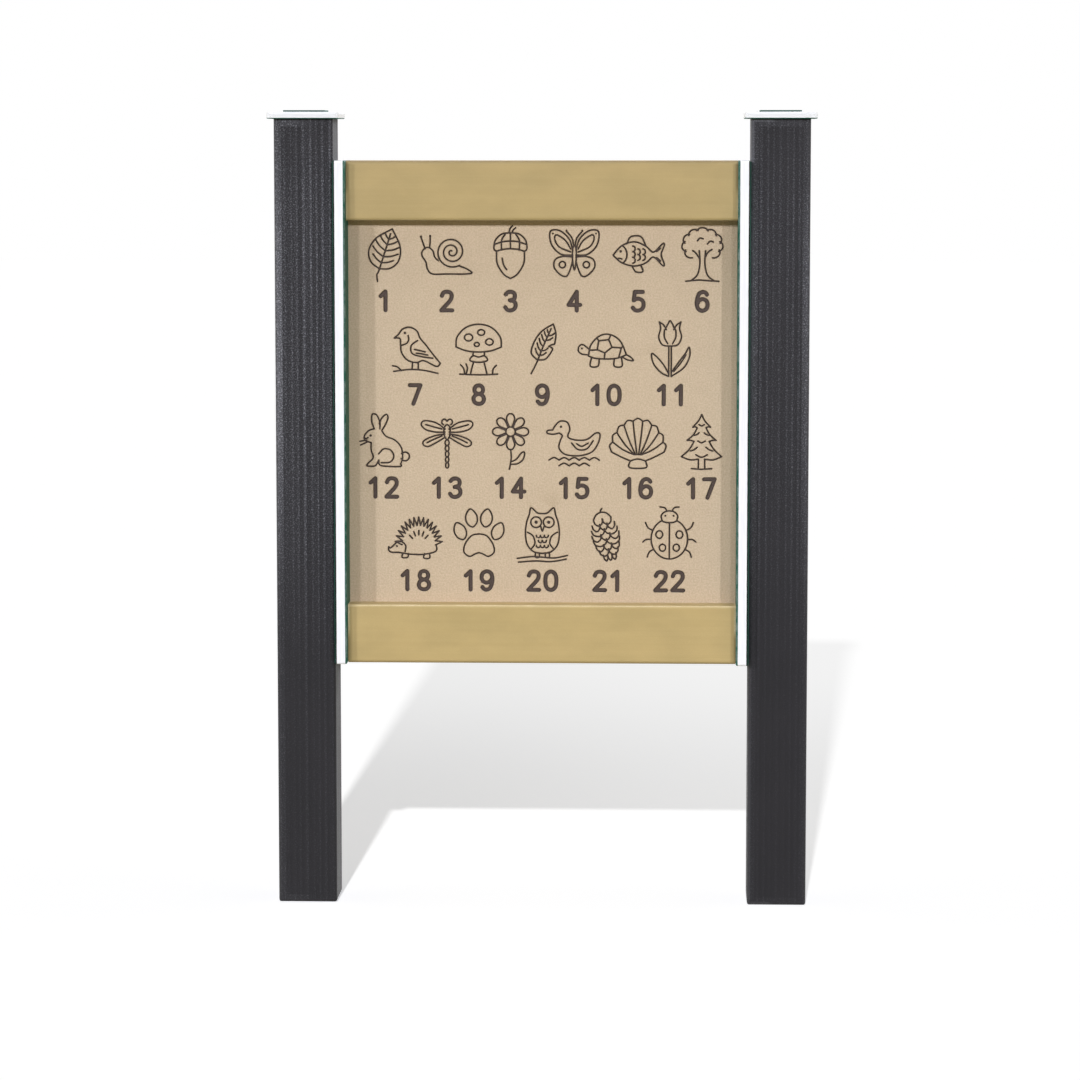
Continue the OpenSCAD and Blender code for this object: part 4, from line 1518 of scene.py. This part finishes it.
@dataclass
class Studio:
    """The camera, the lamps, the pale floor and the white surroundings.

    The floor's tone is a share of white. It changes between two places along Y, and between two along
    X, given in metres and followed by the shares there. Their product counts.
    """

    camera_place: tuple[float, float, float] = (0.200, -5.698, 1.156)
    camera_pitch: float = 6.06
    camera_turn: float = 2.05
    lens: float = 126.13
    sensor: float = 36
    clip_end: float = 200
    floor_size: float = 60
    floor_depth: Step = (0.8, 2.6, 0.78, 0.48)
    floor_width: Step = (-0.35, 0.45, 1.12, 0.82)
    floor_white: float = 1.004
    bounce: float = 0.31
    fill: float = 0.04
    side_fill: float = 0.42
    fill_tint: Colour = (1.0, 0.93, 0.60)
    sun_tint: Colour = (0.985, 1.0, 1.10)
    sun_distance: float = 4
    suns: tuple[Sun, ...] = (
        Sun("far_left", -37.7, 14, 0.87, 2.0),
        Sun("near_left", -17.6, 14, 0.615, 2.0),
        Sun("far_right", 24, 14, 0.84, 2.0),
        Sun("near_right", 9, 14, 0.46, 2.0),
        Sun("overhead", -8, 76, 1.1, 22),
        Sun("side_left", -97, 12, 0.8, 10),
        Sun("side_right", 97, 12, 1.0, 10),
        Sun("back_left", -150, 30, 1.1, 12),
        Sun("back_right", 145, 30, 1.3, 12),
    )
    floor_lamp: FloorLamp = FloorLamp(place=(-0.86, -18.5, 8.72), radius=0.18, power=15500)

    def build(self) -> None:
        """Builds everything round the object."""
        self.set_camera()
        floor = self.add_floor()
        not_floor = self.link_list("lit_pieces", floor, "EXCLUDE")
        only_floor = self.link_list("lit_floor", floor, "INCLUDE")
        for sun in self.suns:
            self.add_sun(sun).light_linking.receiver_collection = not_floor
        self.add_floor_lamp().light_linking.receiver_collection = only_floor
        self.set_world()
        bpy.context.scene.view_settings.view_transform = "Standard"

    def set_camera(self) -> None:
        """Sets the camera at the photograph's place."""
        camera = bpy.data.cameras.new("camera")
        camera.sensor_width = self.sensor
        camera.lens = self.lens
        camera.clip_end = self.clip_end
        holder = new_object("camera", camera)
        holder.location = self.camera_place
        holder.rotation_euler = (math.radians(90 - self.camera_pitch), 0, math.radians(self.camera_turn))
        bpy.context.scene.camera = holder

    def add_sun(self, sun: Sun) -> Thing:
        """Adds one distant lamp."""
        light = bpy.data.lights.new(sun.name, "SUN")
        light.energy = sun.strength
        light.color = self.sun_tint
        light.angle = math.radians(sun.spread)
        azimuth, elevation = math.radians(sun.azimuth), math.radians(sun.elevation)
        towards = Vector((math.sin(azimuth) * math.cos(elevation), -math.cos(azimuth) * math.cos(elevation),
                          math.sin(elevation)))
        holder = new_object(sun.name, light)
        holder.location = self.sun_distance * towards
        holder.rotation_euler = towards.to_track_quat("Z", "Y").to_euler()
        return holder

    def add_floor_lamp(self) -> Thing:
        """Adds the lamp that throws the shadow."""
        light = bpy.data.lights.new("floor_lamp", "POINT")
        light.energy = self.floor_lamp.power
        light.shadow_soft_size = self.floor_lamp.radius
        light.use_soft_falloff = False
        holder = new_object("floor_lamp", light)
        holder.location = self.floor_lamp.place
        return holder

    @staticmethod
    def link_list(name: str, thing: Thing, state: str) -> bpy.types.Collection:
        """Makes the list of what a lamp lights, holding one thing in that state."""
        listed = bpy.data.collections.new(name)
        listed.objects.link(thing)
        listed.collection_objects[0].light_linking.link_state = state
        return listed

    @staticmethod
    def mix_seen(graph: Graph, lighting: Wire, seen: Wire) -> Wire:
        """Shows one shader to rays that see the surroundings, and another to rays that only light."""
        path = graph.node("ShaderNodeLightPath").outputs
        camera, glossy, through = (
            Wire(graph, path[f"Is {kind} Ray"]) for kind in ("Camera", "Glossy", "Transmission"))
        share = graph.math("MAXIMUM", graph.math("MAXIMUM", camera, glossy), through)
        return graph.add("ShaderNodeMixShader", {0: share, 1: lighting, 2: seen})

    def add_floor(self) -> Thing:
        """Adds the white floor, which keeps the object's shadow."""
        half = self.floor_size / 2
        mesh = bpy.data.meshes.new("floor")
        corners = [(-half, -half, 0), (half, -half, 0), (half, half, 0), (-half, half, 0)]
        mesh.from_pydata(corners, [], [(0, 1, 2, 3)])
        floor = new_object("floor", mesh)
        material, graph = new_material("white_floor")
        tone = graph.ramp(graph.along(Axis.Y), *self.floor_depth)
        tone = tone * graph.ramp(graph.along(Axis.X), *self.floor_width)
        surface = graph.add("ShaderNodeBsdfPrincipled", {
            "Base Color": graph.join(tone, tone, tone), "Roughness": 1.0, "Specular IOR Level": 0.0})
        key_light = self.floor_lamp.light_on_floor(graph)
        # A level floor gets a quarter of the sideways fill
        sky_light = self.fill + self.side_fill / 4
        rest = (tone * (-sky_light * tint - key_light) + self.floor_white for tint in self.fill_tint)
        glow = graph.add("ShaderNodeEmission", {"Color": graph.join(*rest)})
        seen = graph.add("ShaderNodeAddShader", {0: surface, 1: glow})
        bounce = graph.add("ShaderNodeEmission", {"Color": self.fill_tint, "Strength": self.bounce})
        graph.node("ShaderNodeOutputMaterial", {"Surface": self.mix_seen(graph, bounce, seen)})
        mesh.materials.append(material)
        return floor

    def set_world(self) -> None:
        """Sets the surroundings: white where they are seen, and a soft fill for the rest."""
        world = bpy.data.worlds.new("surroundings")
        world.use_nodes = True
        world.node_tree.nodes.clear()
        graph = Graph(world.node_tree)
        white = graph.add("ShaderNodeBackground", {"Color": (1, 1, 1), "Strength": 1.0})
        sideways = graph.split(graph.add("ShaderNodeTexCoord", output="Generated"))[0]
        strength = sideways * sideways * self.side_fill + self.fill
        fill = graph.add("ShaderNodeBackground", {"Color": self.fill_tint, "Strength": strength})
        graph.node("ShaderNodeOutputWorld", {"Surface": self.mix_seen(graph, fill, white)})
        bpy.context.scene.world = world


@dataclass
class Panel:
    """The whole information panel: its frame pieces' finishes and its rebuilt pieces."""

    effects: Effects

    post_finish: LumberFinish = LumberFinish(
        name="charcoal_lumber", base=(0.0162, 0.0149, 0.0174), bright=(0.27, 0.272, 0.302),
        deep=(0.005, 0.005, 0.006), along=Axis.Z, streak_w=0.0085, streak_len=1.2, grit_w=0.0017,
        cloud_w=0.05, streak_share=0.14, grit_share=0.9, cloud_share=0.25, roughness=0.55, bump=0.0003,
        # The marks' strength by height is painted reflection at mid-height and painted shade under the cap.
        fade=((0.30, 0.74, 0.15, 1), (1.04, 1.16, 0, -0.4)), by_side=(1.25, 0.52), darker=(0, 0.15),
        specular=0.14, sheen=0.22, ridges=Ridges(),
        # Painted sheen: a bright speckled band just inside the posts' vertical edges, strongest on the left
        # post's left edge and fading under the cap.
        edges=(EdgeWear("left_post", (0.30, 0.302, 0.333), 1.7, (0, 0.0042), (0.0100, 0.0128), 0.3, 0.85,
                        by_width=((-0.38, -0.34, 1, 0.1), (0, 0.1, 0, 0.35), (0.34, 0.38, 0, -0.05)),
                        by_height=((0.40, 0.84, 0.12, 1), (0.93, 1.12, 0, -0.65))),
               # Painted light: a bright band on the right post's edge beside its cheek, lifting the shadow
               # that the cheek casts there.
               EdgeWear("left_post", (0.27, 0.272, 0.302), 0.6, (-0.001, 0), (0.003, 0.006), 0.2, 0.4,
                        by_width=((0.28, 0.29, 0, 1), (0.34, 0.35, 0, -1)),
                        by_height=((0.40, 0.84, 0.3, 1), (0.93, 1.12, 0, -0.4)))))
    rail_finish: LumberFinish = LumberFinish(
        name="tan_lumber", base=(0.495, 0.364, 0.152), bright=(0.58, 0.45, 0.22), deep=(0.405, 0.302, 0.123),
        along=Axis.X, streak_w=0.006, streak_len=0.35, grit_w=0.0014, cloud_w=0.045, streak_share=0.06,
        grit_share=0.16, cloud_share=0.6, roughness=0.40, bump=0.00008, darker=(0.10, -0.04), specular=0.35)
    # Painted highlight for the rails' edges beside the sign, and painted shade for their outer edges.
    rail_glint: Colour = (0.85, 0.75, 0.50)
    rail_soil: Colour = (0.20, 0.145, 0.06)
    rail_turn: float = 0.01
    steel_finish: SteelFinish = SteelFinish(
        "galvanised_steel", (0.56, 0.57, 0.58), (0.30, 0.31, 0.32), 0.34, 0.00004)
    sheet_white: Colour = (0.93, 0.93, 0.95)
    cheek_core_half: float = 0.00635
    cheek_middle_half: float = 0.003
    cap_skin_below: float = 0.0013
    cap_skin_above: float = 0.0022
    sign_skin: float = 0.0016

    def sheet_finishes(self) -> dict[str, SheetFinish]:
        """Gives the finishes of the three-layer sheets, with their layers where the nodes lie."""
        cheek, _ = node_box("left_cheek")
        outer, inner = cheek.x - self.cheek_middle_half, cheek.x + self.cheek_middle_half
        cheek_wear = EdgeWear("left_cheek", self.sheet_white, 0.25,
                              by_width=((outer, inner, 0, 1), (-inner, -outer, 0, -1)))
        cap_low, cap_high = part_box("left_cap")
        cap_core = cap_low.z + self.cap_skin_below, cap_high.z - self.cap_skin_above
        sign, sign_half = node_box("sign_panel")
        green = dict(skin=(0.017, 0.106, 0.072), skin_shade=(0.012, 0.084, 0.057), core=self.sheet_white,
                     core_shade=(0.86, 0.87, 0.90), pebble_w=0.0016, mottle_w=0.03, grain_share=0.35,
                     mottle_share=0.5, roughness=0.55, bump=0.00008, specular=0.15)
        return {
            # The outer skins' cut edges get painted shade: near black on the cheeks beside the posts, darker
            # on the caps' upper skin.
            "cheek": SheetFinish(
                "green_sheet_upright", across=Axis.X, middle=abs(cheek.x), core_half=self.cheek_core_half,
                cut_along=(700, 700, 25), edges=(cheek_wear,), outer_tone=0.05, **green),
            "cap": SheetFinish(
                "green_sheet_level", across=Axis.Z, middle=sum(cap_core) / 2,
                core_half=(cap_core[1] - cap_core[0]) / 2, cut_along=(120, 120, 900), outer_tone=0.6,
                **green | dict(core=(0.83, 0.84, 0.85), core_shade=(0.78, 0.79, 0.81))),
            "sign": SheetFinish(
                "beige_sheet", skin=(0.620, 0.492, 0.345), skin_shade=(0.500, 0.388, 0.262),
                core=(0.085, 0.060, 0.048), core_shade=(0.055, 0.038, 0.031), across=Axis.Y,
                middle=abs(sign.y), core_half=sign_half.y - self.sign_skin, pebble_w=0.0024, mottle_w=0.02,
                grain_share=0.70, mottle_share=0.15, roughness=0.55, bump=0.00050, cut_along=(900, 100, 900),
                # The routed walls get painted shade, darkened to 0.3 of their colour.
                wall_tone=0.3, specular=0.2),
        }

    def rail_material(self, rail: str, inner: int, glint: float, soil: float) -> Material:
        """Builds a rail's material, with a painted highlight along the edges beside the sign and painted
        shade along the others.

        Args:
            rail: The rail's node.
            inner: 1 where the edges beside the sign are its upper ones, -1 where they are its lower ones.
            glint: The share of the painted highlight.
            shade: The share of the painted shade.

        Returns:
            The material.
        """
        middle, _ = node_box(rail)
        half = (middle.z - self.rail_turn, middle.z + self.rail_turn)
        at_low, at_high = (1 - inner) / 2, (1 + inner) / 2
        # Painted highlight along the edges beside the sign, painted shade along the outer ones.
        edges = (EdgeWear(rail, self.rail_glint, glint, fall=(0, 0.0035), patchiness=0.5, speckle=0.4,
                          by_height=((*half, at_low, at_high),)),
                 EdgeWear(rail, self.rail_soil, soil, fall=(0, 0.006), patchiness=0.2,
                          by_height=((*half, at_high, at_low),)))
        return replace(self.rail_finish, name=f"tan_lumber_{rail}", edges=edges).make(self.effects)

    def dress_frame(self) -> None:
        """Gives the posts, caps, cheeks and rails their finishes."""
        sheets = {name: finish.make(self.effects) for name, finish in self.sheet_finishes().items()}
        self.sign_material = sheets["sign"]
        posts = self.post_finish.make(self.effects)
        materials = {"top_rail": self.rail_material("top_rail", -1, 0.5, 0.85),
                     "bottom_rail": self.rail_material("bottom_rail", 1, 1.3, 0.5)}
        for side in Side:
            materials |= {f"{side.word}_post": posts, f"{side.word}_cheek": sheets["cheek"],
                          f"{side.word}_cap": sheets["cap"]}
        for node, material in materials.items():
            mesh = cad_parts[node].data
            mesh.materials.clear()
            mesh.materials.append(material)
            LOG.info("%s is dressed in %s", node, material.name)

    def add_sign(self) -> None:
        """Builds the routed sign panel in place of the plain one."""
        piece = RoutedPanel().build(SignDrawing().strokes())
        piece.data.materials.append(self.sign_material)
        self.hand_over(piece, "sign_panel", "sign_sheet")

    def add_fasteners(self) -> None:
        """Builds the screws and washers in place of the plain ones."""
        for node, piece in Fasteners().build(self.steel_finish.make()).items():
            self.hand_over(piece, node, "fastener_steel")

    @staticmethod
    def hand_over(piece: Thing, node: str, slot: str) -> None:
        """Puts a finished piece on the body, in place of its node."""
        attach(piece, BODY)
        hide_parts(node)
        LOG.info("%s stands for %s with %d faces", piece.name, node, len(piece.data.polygons))


def main() -> None:
    """Builds the scene."""
    logging.basicConfig(level=logging.INFO, format="%(message)s")
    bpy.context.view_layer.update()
    Studio().build()
    panel = Panel(Effects())
    panel.dress_frame()
    panel.add_sign()
    panel.add_fasteners()


if __name__ == "__main__":
    main()
